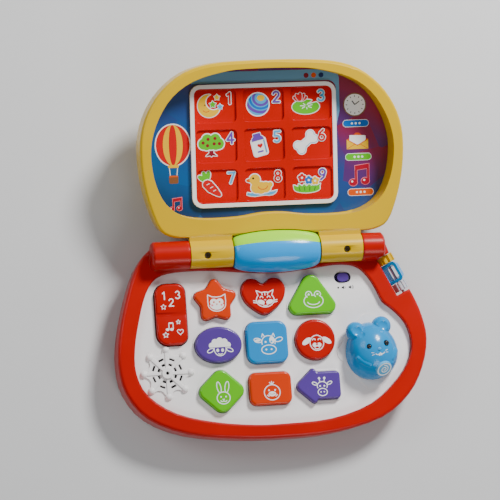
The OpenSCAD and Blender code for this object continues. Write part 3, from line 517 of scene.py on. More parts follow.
def swing(points: list[Point], angle: float, centre: Point = (0.0, 0.0)) -> list[Point]:
    """Turns points by an angle in degrees about a centre."""
    c, s = math.cos(math.radians(angle)), math.sin(math.radians(angle))
    return [
        (centre[0] + c * (x - centre[0]) - s * (y - centre[1]),
         centre[1] + s * (x - centre[0]) + c * (y - centre[1]))
        for x, y in points
    ]


def loop(a: float, b: float, centre: Point) -> list[Point]:
    """Returns an ellipse whose last point is its first again."""
    points = ellipse(a, b, centre, 26)
    return [*points, points[0]]


def lobes(circles: Iterable[Lobe], centre: Point = (0.0, 0.0), grow: float = 0.0) -> list[Point]:
    """Returns the outer edge of round lobes, as seen from the first one's middle.

    Args:
        circles: Each lobe's middle, from the centre, and its radius; the first one is at the centre.
        centre: Where the lobes are.
        grow: Added to every radius.

    Returns:
        The edge's points.
    """
    points: list[Point] = []
    for k in range(96):
        c, s = math.cos(math.pi * k / 48), math.sin(math.pi * k / 48)
        reach = 0.0
        for x, y, r in circles:
            along = x * c + y * s
            left = (r + grow) ** 2 - (x * x + y * y - along * along)
            if left >= 0.0:
                reach = max(reach, along + math.sqrt(left))
        points.append((centre[0] + c * reach, centre[1] + s * reach))
    return points


def kept_in(points: list[Point], r: float) -> list[Point]:
    """Pulls the points outside a circle round the origin back onto it."""
    shares = [min(1.0, r / max(math.hypot(x, y), MM)) for x, y in points]
    return [(x * k, y * k) for (x, y), k in zip(points, shares)]


# The pen's strokes for each digit, in a box 10 high round its middle.
DIGIT_STROKES: dict[int, list[list[Point]]] = {
    1: [[(-1.8, 3.2), (0.4, 5.0), (0.4, -5.0)]],
    2: [ellipse(2.7, 2.7, (0.0, 2.3), 14, 165, -195) + [(-2.9, -5.0), (3.0, -5.0)]],
    3: [ellipse(2.6, 2.5, (0.0, 2.5), 14, 150, -230), ellipse(2.9, 2.6, (0.0, -2.4), 14, 80, -230)],
    4: [[(1.4, -5.0), (1.4, 5.0), (-3.2, -1.8), (3.4, -1.8)]],
    5: [[(2.8, 5.0), (-2.0, 5.0), (-2.4, 0.9)] + ellipse(3.0, 3.0, (-0.2, -2.0), 14, 115, -250)],
    6: [loop(2.8, 2.8, (0.0, -2.2)), [(-2.7, -1.6), (-1.4, 2.4), (1.6, 5.0)]],
    7: [[(-3.0, 5.0), (3.0, 5.0), (-0.8, -5.0)]],
    8: [loop(2.3, 2.3, (0.0, 2.7)), loop(2.8, 2.7, (0.0, -2.3))],
    9: [loop(2.8, 2.8, (0.0, 2.2)), [(2.7, 1.6), (1.4, -2.4), (-1.6, -5.0)]],
}


@dataclass
class Drawing:
    """A flat print in millimetres: filled areas and lines, each in an ink and a layer.

    Attributes:
        name: Name of the piece that it becomes.
        origin: Where the places given next are measured from.
        areas: Ink, layer and edge of each area.
        lines: Ink, layer, width, whether it is closed, and points of each line.
    """

    name: str
    origin: Point = (0.0, 0.0)
    areas: list[tuple[Ink, int, list[Point]]] = field(default_factory=list)
    lines: list[tuple[Ink, int, float, bool, list[Point]]] = field(default_factory=list)

    FILM = 0.06
    LAYER = 0.035
    OUTLINE = 0.15
    SHARP_TURN = 0.6

    def _placed(self, points: list[Point]) -> list[Point]:
        """Returns points as measured from the drawing's middle."""
        return [(self.origin[0] + x, self.origin[1] + y) for x, y in points]

    def area(self, ink: Ink, points: list[Point], layer: int = 0) -> None:
        """Adds a filled area."""
        self.areas.append((ink, layer, self._placed(points)))

    def line(self, ink: Ink, points: list[Point], width: float = 1.0, closed: bool = False,
             layer: int = 0) -> None:
        """Adds a line of a given width."""
        self.lines.append((ink, layer, width, closed, self._placed(points)))

    def dot(self, ink: Ink, centre: Point, r: float, layer: int = 0) -> None:
        """Adds a round dot."""
        self.area(ink, ellipse(r, r, centre, min(72, 14 + round(5 * r))), layer)

    def digit(self, number: int, centre: Point, size: float, ink: Ink, layer: int = 0,
              outline: Ink | None = Ink.WHITE, width: float = 0.17) -> None:
        """Adds a digit drawn with a round pen, with an outline behind it.

        Args:
            number: From 1 to 9.
            centre: Its middle.
            size: Its height.
            ink: Ink of the pen.
            layer: Lowest layer.
            outline: Ink of the outline, if there is one.
            width: Width of the pen as a share of the height.
        """
        k = size / 10.0
        for stroke in DIGIT_STROKES[number]:
            points = [(centre[0] + x * k, centre[1] + y * k) for x, y in stroke]
            closed = stroke[0] == stroke[-1]
            if closed:
                points.pop()
            if outline:
                self._pen(outline, points, size * (width + self.OUTLINE), closed, layer)
            self._pen(ink, points, size * width, closed, layer + 2)

    def _pen(self, ink: Ink, points: list[Point], width: float, closed: bool, layer: int) -> None:
        """Adds a line with round ends and corners."""
        self.line(ink, points, width, closed, layer)
        if closed:
            return
        spots = [points[0], points[-1]]
        for before, spot, after in zip(points, points[1:], points[2:]):
            if (Vector(spot) - Vector(before)).angle(Vector(after) - Vector(spot)) > self.SHARP_TURN:
                spots.append(spot)
        for spot in spots:
            self.dot(ink, spot, width / 2, layer)

    def sticker(self, ink: Ink, points: list[Point], layer: int = 0, rim: float = 1.5) -> None:
        """Adds a filled area with a white edge round it."""
        self.line(Ink.WHITE, points, rim, True, layer)
        self.area(ink, points, layer + 1)

    def build(self, place: Matrix, body: str, slot: str, surface: BVHTree | None = None) -> None:
        """Makes the print one mesh on its carrier.

        Args:
            place: From the drawing's frame, in metres, to the toy's frame.
            body: The body that carries it.
            slot: The record's slot for it; not used.
            surface: The surface that it is pressed onto from above, if it isn't flat.
        """
        mesh = bmesh.new()
        inks: list[Ink] = []
        for ink, layer, points in self.areas:
            self._join(mesh, self._area_mesh(points, layer), inks, ink)
        for ink, layer, width, closed, points in self.lines:
            self._join(mesh, self._line_mesh(points, width, closed, layer), inks, ink)
        bmesh.ops.scale(mesh, vec=(MM, MM, MM), verts=mesh.verts)
        if surface is None:
            bmesh.ops.transform(mesh, matrix=place, verts=mesh.verts)
        else:
            self._press(mesh, place, surface)
        data = mesh_of(mesh, self.name)
        for ink in inks:
            data.materials.append(ink_finish(ink).material())
        add_piece(self.name, data, body)

    @staticmethod
    def _press(mesh: bmesh.types.BMesh, place: Matrix, surface: BVHTree) -> None:
        """Presses the print onto a surface from above."""
        for vert in mesh.verts:
            spot = place @ Vector((vert.co.x, vert.co.y, 0.0))
            hit = drop(surface, spot)[0]
            floor = hit.z if hit else spot.z
            vert.co = Vector((spot.x, spot.y, floor + vert.co.z))

    @staticmethod
    def _join(mesh: bmesh.types.BMesh, part: bpy.types.Mesh, inks: list[Ink], ink: Ink) -> None:
        """Adds a part's faces to the print, in their ink."""
        if ink not in inks:
            inks.append(ink)
        known = len(mesh.faces)
        mesh.from_mesh(part)
        mesh.faces.ensure_lookup_table()
        for face in mesh.faces[known:]:
            face.material_index = inks.index(ink)
        bpy.data.meshes.remove(part)

    def _area_mesh(self, points: list[Point], layer: int) -> bpy.types.Mesh:
        """Returns a filled area as a thin closed slab."""
        part = bmesh.new()
        face = part.faces.new([part.verts.new((x, y, layer * self.LAYER)) for x, y in points])
        grown = bmesh.ops.extrude_face_region(part, geom=[face])
        top = [g for g in grown["geom"] if isinstance(g, bmesh.types.BMVert)]
        bmesh.ops.translate(part, vec=(0.0, 0.0, self.FILM), verts=top)
        bmesh.ops.recalc_face_normals(part, faces=part.faces)
        bmesh.ops.triangulate(part, faces=part.faces)
        return mesh_of(part, "area")

    @staticmethod
    def _finer(points: list[Point], closed: bool, step: float = 1.0) -> list[Point]:
        """Returns a line's points with more of them on its long spans."""
        finer: list[Point] = []
        ends = points[1:] + points[:1] if closed else points[1:]
        for a, b in zip(points, ends):
            count = max(1, math.ceil(round(math.dist(a, b) / step, 6)))
            for k in range(count):
                finer.append((a[0] + (b[0] - a[0]) * k / count, a[1] + (b[1] - a[1]) * k / count))
        return finer if closed else [*finer, points[-1]]

    def _line_mesh(self, points: list[Point], width: float, closed: bool, layer: int) -> bpy.types.Mesh:
        """Returns a line as a flattened round bead."""
        curve = new_curve("line", width / 2, 2)
        spline = curve.splines.new("POLY")
        points = self._finer(points, closed)
        spline.points.add(len(points) - 1)
        for spot, (x, y) in zip(spline.points, points):
            spot.co = (x, y, 0.0, 1.0)
        spline.use_cyclic_u = closed
        data = swept(curve)
        squeeze = Matrix.Diagonal((1.0, 1.0, 2 * self.FILM / width, 1.0))
        data.transform(Matrix.Translation((0.0, 0.0, layer * self.LAYER)) @ squeeze)
        return data


# ---------------------------------------------------------------- moulded parts


@dataclass
class Moulding:
    """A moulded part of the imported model, welded and shaded smooth over its curved faces.

    Attributes:
        node: The node that it stands for.
        round_by: Radius of the rounding round its top, in millimetres.
        weld: Points that are closer than this become one.
        flat_angle: Faces that meet at less than this become one.
        smooth_angle: Edges that turn by more than this stay sharp.
        top_depth: How far below its top an edge is still rounded, in millimetres.
        top_angle: The least turn of an edge that is rounded.
        level: How much an edge that is rounded may rise, in millimetres.
    """

    node: str
    round_by: float = 0.0
    weld: float = 0.000002
    flat_angle: float = math.radians(0.4)
    smooth_angle: float = math.radians(40.0)
    top_depth: float = 2.4
    top_angle: float = math.radians(16.0)
    level: float = 0.05

    def _round(self, mesh: bmesh.types.BMesh) -> None:
        """Rounds the edges round the top of the part."""
        floor = max(vert.co.z for vert in mesh.verts) - self.top_depth * MM
        edges = []
        for edge in mesh.edges:
            a, b = (vert.co.z for vert in edge.verts)
            if min(a, b) > floor and abs(a - b) < self.level * MM and len(edge.link_faces) == 2:
                if edge.calc_face_angle() > self.top_angle:
                    edges.append(edge)
        bmesh.ops.bevel(
            mesh, geom=edges, offset=self.round_by * MM, segments=3, profile=0.5, affect="EDGES", material=-1)

    def build(self) -> None:
        """Makes the welded part and lets it stand for its node."""
        mesh = bmesh.new()
        mesh.from_mesh(frame["nodes"][self.node].data)
        bmesh.ops.remove_doubles(mesh, verts=mesh.verts, dist=self.weld)
        bmesh.ops.dissolve_limit(mesh, angle_limit=self.flat_angle, verts=mesh.verts, edges=mesh.edges)
        if self.round_by:
            self._round(mesh)
        name = f"{self.node}_moulding"
        data = mesh_of(mesh, name)
        data.shade_smooth()
        data.set_sharp_from_angle(angle=self.smooth_angle)
        data.materials.clear()
        data.materials.append(NODE_FINISH[self.node].material())
        piece = add_piece(name, data, body_of_node(self.node))
        piece.modifiers.new("even_shading", "WEIGHTED_NORMAL").keep_sharp = True
        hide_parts(self.node)


@dataclass
class Keyboard:
    """The animal faces on the nine keys.

    Attributes:
        line_w: Width of a printed line.
        scale: Size of the faces as drawn.
        offset: From a key's middle to its face.
    """

    line_w: float = 0.95
    scale: float = 0.88
    offset: Point = (0.8, -2.4)

    def build(self) -> None:
        """Prints a face on each key."""
        faces = (
            self._owl, self._cat, self._frog, self._sheep, self._cow, self._dog, self._rabbit, self._chick,
            self._giraffe,
        )
        for node, draw in zip(KEYS, faces):
            drawing = Drawing(f"{node}_print")
            draw(drawing)
            middle = node_middle(node)
            spot = (middle.x + self.offset[0] * MM, middle.y + self.offset[1] * MM, node_top(node))
            place = Matrix.Translation(spot) @ Matrix.Diagonal((self.scale, self.scale, 1.0, 1.0))
            drawing.build(place, body_of_node(node), "white_plastic", surface_of(node))

    def _stroke(self, d: Drawing, points: list[Point], closed: bool = False) -> None:
        """Adds a white line."""
        d.line(Ink.WHITE, points, self.line_w, closed)

    def _arcs(self, d: Drawing, *arcs: tuple) -> None:
        """Adds white parts of ellipses, each given as ellipse() takes it."""
        for arc in arcs:
            self._stroke(d, ellipse(*arc))

    def _ear(self, d: Drawing, a: float, b: float, centre: Point, count: int, angle: float) -> None:
        """Adds the white outline of a turned ear."""
        self._stroke(d, swing(ellipse(a, b, centre, count), angle, centre), True)

    def _owl(self, d: Drawing) -> None:
        """An owl with a pale face and ear tufts."""
        head = [(-8.8, 0.0), (-8.6, 7.2), (-4.4, 5.0), (0.0, 4.6), (4.4, 5.0), (8.6, 7.2), (8.8, 0.0)]
        self._stroke(d, head + ellipse(8.6, 6.6, (0, -2.6), 22, 8, -196), True)
        face = ellipse(3.6, 3.4, (-3.0, -0.2), 16, 40, 180) + ellipse(7.0, 5.0, (0, -2.8), 16, 180, 180)
        d.area(Ink.WHITE, face + ellipse(3.6, 3.4, (3.0, -0.2), 16, -40, 180))
        for side in (-1, 1):
            d.dot(Ink.ORANGE, (side * 2.8, -0.2), 0.9, 2)
            d.dot(Ink.PINK, (side * 4.6, -3.2), 1.0, 2)
        d.area(Ink.ORANGE, [(-1.0, -1.8), (1.0, -1.8), (0, -3.6)], 2)

    def _cat(self, d: Drawing) -> None:
        """A striped cat with full cheeks."""
        self._arcs(d, (8.8, 7.0, (0, -1.0), 32, 138, 264))
        for side in (-1, 1):
            self._stroke(d, [(side * 6.8, 3.6), (side * 8.6, 8.6), (side * 3.6, 6.2)])
            cheek = ellipse(3.6, 2.2, (side * 4.2, -3.0), 20)
            d.area(Ink.WHITE, swing(cheek, side * 16, (side * 4.2, -3.0)))
            for y in (-2.0, -3.8):
                self._stroke(d, [(side * 8.0, y), (side * 12.0, y + 0.8)])
            self._stroke(d, [(side * 3.1, 6.3), (side * 2.5, 3.6)])
            self._arcs(d, (1.5, 1.7, (side * 3.6, 0.9), 10, 0, 180))
        self._stroke(d, [(-3.6, 6.2), (0, 6.8), (3.6, 6.2)])
        self._stroke(d, [(0, 6.7), (0, 3.4)])
        d.area(Ink.WHITE, [(-1.2, -0.4), (1.2, -0.4), (0, -1.8)])
        self._arcs(d, (2.6, 1.8, (0, -4.9), 10, 180, 180))

    def _frog(self, d: Drawing) -> None:
        """A frog with high eyes and a wide mouth."""
        self._arcs(d, (9.6, 6.6, (0, -4.2), 34, 128, 284))
        for side, start in ((-1, -10), (1, -20)):
            self._arcs(d, (3.1, 3.1, (side * 4.4, 2.2), 18, start, 250))
            d.dot(Ink.WHITE, (side * 4.4, 2.4), 1.0)
        self._stroke(d, [(-1.7, 1.2), (0, 1.5), (1.7, 1.2)])
        self._arcs(d, (6.2, 3.4, (0, -4.4), 18, 190, 160))

    def _sheep(self, d: Drawing) -> None:
        """A sheep with a full fleece over its face."""
        curls = [(0.0, 0.0, 5.0), (0.0, 4.0, 3.2)]
        curls += [(side * x, y, r) for x, y, r in ((4.6, 2.8, 3.2), (7.8, -0.4, 3.0)) for side in (-1, 1)]
        d.area(Ink.WHITE, [(x, max(y, 0.2)) for x, y in lobes(curls, (0.0, 2.4))])
        self._arcs(d, (5.8, 6.6, (0, -1.6), 24, 168, 204))
        for side in (-1, 1):
            self._ear(d, 3.4, 1.7, (side * 9.4, -2.8), 18, side * -24)
            d.area(Ink.WHITE, ellipse(1.4, 1.7, (side * 2.4, -2.8), 16))
        self._arcs(d, (2.0, 1.2, (0, -5.6), 8, 190, 160))

    def _cow(self, d: Drawing) -> None:
        """A cow with horns and a broad muzzle."""
        self._arcs(d, (6.6, 6.4, (0, 2.4), 26, -20, 220))
        self._stroke(d, ellipse(7.2, 4.4, (0, -4.8), 30), True)
        for side in (-1, 1):
            self._ear(d, 3.8, 2.0, (side * 10.4, 4.6), 18, side * 16)
            self._stroke(d, [(side * 3.6, 8.2), (side * 5.4, 11.0), (side * 6.4, 7.6)])
            d.dot(Ink.WHITE, (side * 2.6, -4.6), 0.9)
        d.dot(Ink.WHITE, (-2.8, 2.8), 1.0)
        d.area(Ink.WHITE, ellipse(2.6, 3.6, (3.6, 4.4), 20))
        d.dot(Ink.SKY, (3.0, 3.0), 1.0, 2)
        d.area(Ink.WHITE, ellipse(2.6, 1.2, (-10.4, 4.6), 16))

    def _dog(self, d: Drawing) -> None:
        """A dog with wide pale ears and a pale muzzle."""
        self._stroke(d, ellipse(6.8, 7.4, (0, -0.8), 34), True)
        for side in (-1, 1):
            ear = ellipse(5.2, 2.5, (side * 10.0, 1.2), 26)
            d.area(Ink.WHITE, swing(ear, side * -34, (side * 10.0, 1.2)))
            self._arcs(d, (1.4, 1.5, (side * 2.8, 1.8), 10, 0, 180))
        d.area(Ink.WHITE, lobes([(0.0, 0.0, 1.6), (-2.2, 0.0, 2.2), (2.2, 0.0, 2.2)], (0.0, -2.8)))
        d.dot(Ink.RED, (0, -2.2), 1.0, 2)
        self._arcs(d, (2.4, 1.4, (0, -5.4), 10, 180, 180))

    def _rabbit(self, d: Drawing) -> None:
        """A rabbit with long ears."""
        self._stroke(d, ellipse(6.4, 5.8, (0, -4.0), 28), True)
        for side in (-1, 1):
            ear = ellipse(1.9, 5.4, (side * 3.0, 6.4), 22)
            self._stroke(d, swing(ear, side * -10, (side * 3.0, 1.4)), True)
            d.dot(Ink.WHITE, (side * 2.4, -2.8), 0.8)
        self._stroke(d, [(-1.0, -5.0), (0, -5.8), (1.0, -5.0)])
        self._arcs(d, (1.5, 1.3, (-1.5, -6.2), 8, 180, 170), (1.5, 1.3, (1.5, -6.2), 8, 190, 170))

    def _chick(self, d: Drawing) -> None:
        """A chick with a tuft, cheeks and a broad beak."""
        self._stroke(d, ellipse(7.8, 7.4, (0, -1.4), 34), True)
        for x, y in ((-2.4, 8.6), (0, 9.6), (2.4, 8.6)):
            self._stroke(d, [(0, 6.2), (x, y)])
        d.area(Ink.WHITE, ellipse(3.8, 2.4, (0, -2.8), 24))
        d.line(Ink.ORANGE, [(-2.6, -2.6), (0.0, -3.2), (2.6, -2.6)], 0.6, False, 2)
        for side in (-1, 1):
            d.dot(Ink.WHITE, (side * 3.0, 0.8), 0.9)
            self._arcs(d, (2.0, 1.6, (side * 5.4, -5.6), 8, 90, side * 90))

    def _giraffe(self, d: Drawing) -> None:
        """A giraffe with knobbed horns."""
        d.origin = (2.0, 0.0)
        self._arcs(d, (5.0, 4.2, (0, 2.0), 22, -30, 240))
        self._stroke(d, ellipse(4.6, 3.6, (0, -4.0), 26), True)
        for side in (-1, 1):
            self._stroke(d, [(side * 2.0, 6.0), (side * 2.6, 9.0)])
            self._ear(d, 2.6, 1.3, (side * 7.4, 4.6), 16, side * 24)
            for x, y, r in ((2.6, 9.6, 1.2), (2.1, 2.0, 0.9), (1.6, -3.8, 0.7)):
                d.dot(Ink.WHITE, (side * x, y), r)


@dataclass
class Deck:
    """The rocker's signs, the marks of the volume switch and the dark tray in its slot, which is partly
    painted shade.

    Attributes:
        hole: Size of the tray's hole, for the knob's stem.
        inner: Size of the tray's floor.
        outer: Size of the tray's rim.
        floor: How far the tray's floor lies below the deck.
        rim: How far the tray's rim stands above the deck.
        wall: Thickness of the tray's floor.
    """

    hole: Point = (12.0, 5.8)
    inner: Point = (14.2, 8.3)
    outer: Point = (14.7, 8.8)
    floor: float = 0.84
    rim: float = 0.02
    wall: float = 0.14

    def build(self) -> None:
        """Prints the deck's signs and lines the slot with a dark tray that is partly painted shade."""
        self._rocker()
        self._slot_liner()
        self._volume()

    def _rocker(self) -> None:
        """Prints numbers on the upper half and notes on the lower half of the rocker."""
        middle = node_middle("mode_rocker")
        d = Drawing("mode_rocker_print")
        for number, x, y in ((1, -5.4, 16.0), (2, 0.4, 10.0), (3, 6.2, 16.2)):
            d.digit(number, (x, y), 6.2, Ink.WHITE, 0, None)
        d.line(Ink.WHITE, star(2.4, 1.1, (-6.4, 6.4)), 0.6, True)
        for x in (-3.2, 0.4):
            d.area(Ink.WHITE, ellipse(1.5, 1.2, (x - 1.0, -13.0), 14))
            d.line(Ink.WHITE, [(x + 0.3, -13.0), (x + 0.3, -7.6)], 0.8)
        d.line(Ink.WHITE, [(-2.9, -7.6), (0.7, -7.6)], 1.4)
        for sign in (heart(2.6, (6.6, -15.4)), star(2.6, 1.2, (-6.0, -17.6)), star(2.0, 0.9, (5.4, -7.0))):
            d.line(Ink.WHITE, sign, 0.7, True)
        place = Matrix.Translation((middle.x, middle.y, node_top("mode_rocker")))
        d.build(place, "mode_rocker", "white_plastic", surface_of("mode_rocker"))

    def _slot_liner(self) -> None:
        """A dark tray that lines the volume knob's slot and leaves its stem free. Its floor stands for the
        switch's dark shutter; its dark walls and the thin dark rim on the deck are painted shade where the
        slot's shadow falls.
        """
        middle = node_middle("volume_knob") / MM
        bottom = -self.floor - self.wall
        sections = (
            (self.hole, -self.floor), (self.inner, -self.floor), (self.inner, self.rim),
            (self.outer, self.rim), (self.outer, bottom), (self.hole, bottom))
        mesh = bmesh.new()
        loops = []
        for (length, width), z in sections:
            path = bar(length, width, width / 2 - 0.01, (middle.x, middle.y))
            verts = [mesh.verts.new((x, y, DECK_TOP / MM + z)) for x, y in path]
            loops.append([mesh.edges.new((a, b)) for a, b in zip(verts, verts[1:] + verts[:1])])
        for first, second in zip(loops, loops[1:] + loops[:1]):
            bmesh.ops.bridge_loops(mesh, edges=first + second)
        bmesh.ops.recalc_face_normals(mesh, faces=mesh.faces)
        bmesh.ops.scale(mesh, vec=(MM, MM, MM), verts=mesh.verts)
        data = mesh_of(mesh, "volume_slot_shade_liner")
        data.materials.append(SLOT_PURPLE.material())
        add_piece("volume_slot_shade_liner", data, "base")

    def _volume(self) -> None:
        """Prints three loudness marks below the volume switch."""
        middle = node_middle("volume_knob")
        d = Drawing("volume_marks", (0.0, -8.8))
        d.dot(Ink.BLACK, (-4.4, 0.0), 0.8)
        for x, waves in ((0.8, 1), (7.0, 2)):
            horn = [(-2.0, -0.7), (-1.1, -0.7), (0.0, -1.6), (0.0, 1.6), (-1.1, 0.7), (-2.0, 0.7)]
            d.area(Ink.BLACK, [(x + dx, dy) for dx, dy in horn])
            for k in range(waves):
                d.line(Ink.BLACK, ellipse(1.0 + k, 1.2 + k, (x, 0.0), 10, -50, 100), 0.45)
        place = Matrix.Translation((middle.x, middle.y, DECK_TOP))
        d.build(place, "base", "white_plastic", surface_of("deck_plate"))


@dataclass
class Mouse:
    """The mouse's arms, belly disc and printed face. Places are in millimetres from between the eyes.

    Attributes:
        turn: Turn of the mouse on the deck.
        disc_at: Middle of the disc.
        disc_r: Radius of the disc.
        disc_t: Thickness of the disc.
        disc_edge: Rounding of the disc.
        stand: How far the disc stands out.
        spiral: Radius and turns of the disc's spiral, and the share of the radius that it winds in.
        even_by: How far round a place the body's slope is evened.
        sharp_angle: Edges that turn by more than this stay sharp.
        arm_r: Radius of an arm.
        arm_stand: How far an arm stands out.
        arm_least: The least share of the radius along an arm.
        arm_span: The part of a half wave that an arm's thickness follows.
        arm_tip: Share of the radius at an arm's ends.
        arms: Points that each arm runs through, from the shoulder to the hand.
        nose_at: Middle of the nose.
        nose_size: Half the size of the nose across and along.
        place: From the mouse's frame to the toy's frame.
        surface: The body that all of it lies on.
    """

    turn: float = math.radians(9.0)
    disc_at: Point = (1.5, -20.8)
    disc_r: float = 7.4
    disc_t: float = 2.4
    disc_edge: float = 0.5
    stand: float = 1.1
    spiral: tuple[float, float, float] = (4.0, 1.7, 0.88)
    even_by: float = 2.0
    sharp_angle: float = math.radians(50.0)
    arm_r: float = 4.8
    arm_stand: float = 0.85
    arm_least: float = 0.35
    arm_span: Point = (0.12, 0.74)
    arm_tip: float = 0.25
    arms: tuple[tuple[Point, ...], ...] = (
        ((-19.0, -4.6), (-17.0, -10.0), (-12.4, -14.4), (-6.8, -17.6)),
        ((16.8, -3.0), (16.2, -8.0), (13.6, -12.6), (9.0, -16.6)),
    )
    nose_at: Point = (0.2, -3.6)
    nose_size: Point = (2.3, 1.8)
    place: Matrix = field(init=False)
    surface: BVHTree = field(init=False)

    def __post_init__(self) -> None:
        """Finds the mouse's place and its surface."""
        eyes = node_middle("mouse_eyes")
        spot = Matrix.Translation((eyes.x, eyes.y, node_top("mouse_body")))
        self.place = spot @ Matrix.Rotation(self.turn, 4, "Z")
        self.surface = surface_of("mouse_body")

    def build(self) -> None:
        """Makes the arms and the disc, and prints the face."""
        for name, points in zip(("left_arm", "right_arm"), self.arms):
            self._arm(name, points)
        self._disc()
        self._face()

    def _face(self) -> None:
        """Prints the nose, as painted shade round a painted highlight, and the mouth, the teeth and the
        whiskers.
        """
        d = Drawing("mouse_face")
        a, b = self.nose_size
        # Painted light: the nose's low bump is printed as a darker blue ring for its shade round a lighter
        # sky oval for its highlight.
        d.area(Ink.BLUE, ellipse(a, b, self.nose_at, 30))
        d.area(Ink.SKY, ellipse(a - 0.4, b - 0.4, self.nose_at, 26), 1)
        for side in (-1, 1):
            d.line(Ink.WHITE, ellipse(2.0, 1.6, (side * 2.0, -6.8), 12, 190, 160), 0.7)
            d.area(Ink.WHITE, bar(1.5, 1.7, 0.4, (side * 0.85, -8.6)))
            d.line(Ink.WHITE, [(side * 5.2, -6.2), (side * 7.6, -5.6)], 0.45)
            d.line(Ink.WHITE, [(side * 5.0, -7.6), (side * 7.4, -7.9)], 0.45)
        d.build(self.place, "mouse", "white_plastic", self.surface)

    def _seat(self, at: Point) -> tuple[Vector, Vector]:
        """Returns the body's surface point over a place, and the even normal round it."""
        normal = Vector()
        middle = Vector()
        for dx, dy in ((0, 0), (1, 0), (-1, 0), (0, 1), (0, -1)):
            x, y = at[0] + dx * self.even_by, at[1] + dy * self.even_by
            hit, facing = drop(self.surface, self.place @ Vector((x * MM, y * MM, 0.0)))
            if hit is None:
                continue
            normal += facing
            if dx == dy == 0:
                middle = hit
        return middle, normal.normalized()

    def _piece(self, name: str, data: bpy.types.Mesh, finish: Finish) -> None:
        """Adds a moulded piece that rides on the mouse."""
        data.shade_smooth()
        data.set_sharp_from_angle(angle=self.sharp_angle)
        data.materials.append(finish.material())
        add_piece(name, data, "mouse")

    def _disc(self) -> None:
        """The round disc that the mouse holds, with a spiral on it."""
        middle, normal = self._seat(self.disc_at)
        across = self.place.to_3x3() @ Vector((1.0, 0.0, 0.0))
        across = (across - normal * across.dot(normal)).normalized()
        turn = Matrix((across, normal.cross(across), normal)).transposed().to_4x4()
        place = Matrix.Translation(middle + normal * self.stand * MM) @ turn
        mesh = bmesh.new()
        bmesh.ops.create_cone(
            mesh, cap_ends=True, segments=56, radius1=self.disc_r, radius2=self.disc_r, depth=self.disc_t)
        bmesh.ops.translate(mesh, vec=(0.0, 0.0, -self.disc_t / 2), verts=mesh.verts)
        rim = [edge for edge in mesh.edges if all(abs(vert.co.z) < 1e-4 for vert in edge.verts)]
        bmesh.ops.bevel(
            mesh, geom=rim, offset=self.disc_edge, segments=3, profile=0.5, affect="EDGES", material=-1)
        bmesh.ops.scale(mesh, vec=(MM, MM, MM), verts=mesh.verts)
        bmesh.ops.transform(mesh, matrix=place, verts=mesh.verts)
        self._piece("belly_disc", mesh_of(mesh, "belly_disc"), DISC_BLUE)
        d = Drawing("belly_spiral")
        d.line(Ink.WHITE, ellipse(6.1, 6.1, (0.0, 0.0), 44), 1.1, True)
        d.line(Ink.WHITE, self._spiral(*self.spiral), 0.9)
        d.build(place, "mouse", "white_plastic")

    def _arm(self, name: str, points: tuple[Point, ...]) -> None:
        """A rounded arm that lies on the body, thin at the shoulder and full at the hand."""
        curve = new_curve(name, self.arm_r * MM, 6)
        spline = curve.splines.new("NURBS")
        ends = [points[0], *points, points[-1]]
        spline.points.add(len(ends) - 1)
        spline.order_u = 4
        spline.use_endpoint_u = True
        spline.resolution_u = 10
        first, last = self.arm_span
        for k, (spot, at) in enumerate(zip(spline.points, ends)):
            middle, normal = self._seat(at)
            wave = math.sin(math.pi * (first + (last - first) * k / (len(ends) - 1)))
            thick = self.arm_least + (1.0 - self.arm_least) * wave
            centre = middle - normal * (self.arm_r * thick - self.arm_stand) * MM
            spot.co = (*centre, 1.0)
            spot.radius = thick if 0 < k < len(ends) - 1 else self.arm_tip
        data = swept(curve)
        data.materials.clear()
        self._piece(name, data, MOUSE_BLUE)

    @staticmethod
    def _spiral(r: float, turns: float, winds_in: float, count: int = 60) -> list[Point]:
        """Returns a spiral that winds inwards from a radius."""
        points = []
        for k in range(count + 1):
            angle = math.radians(90) - 2 * math.pi * turns * k / count
            radius = r * (1 - winds_in * k / count)
            points.append((radius * math.cos(angle), radius * math.sin(angle)))
        return points


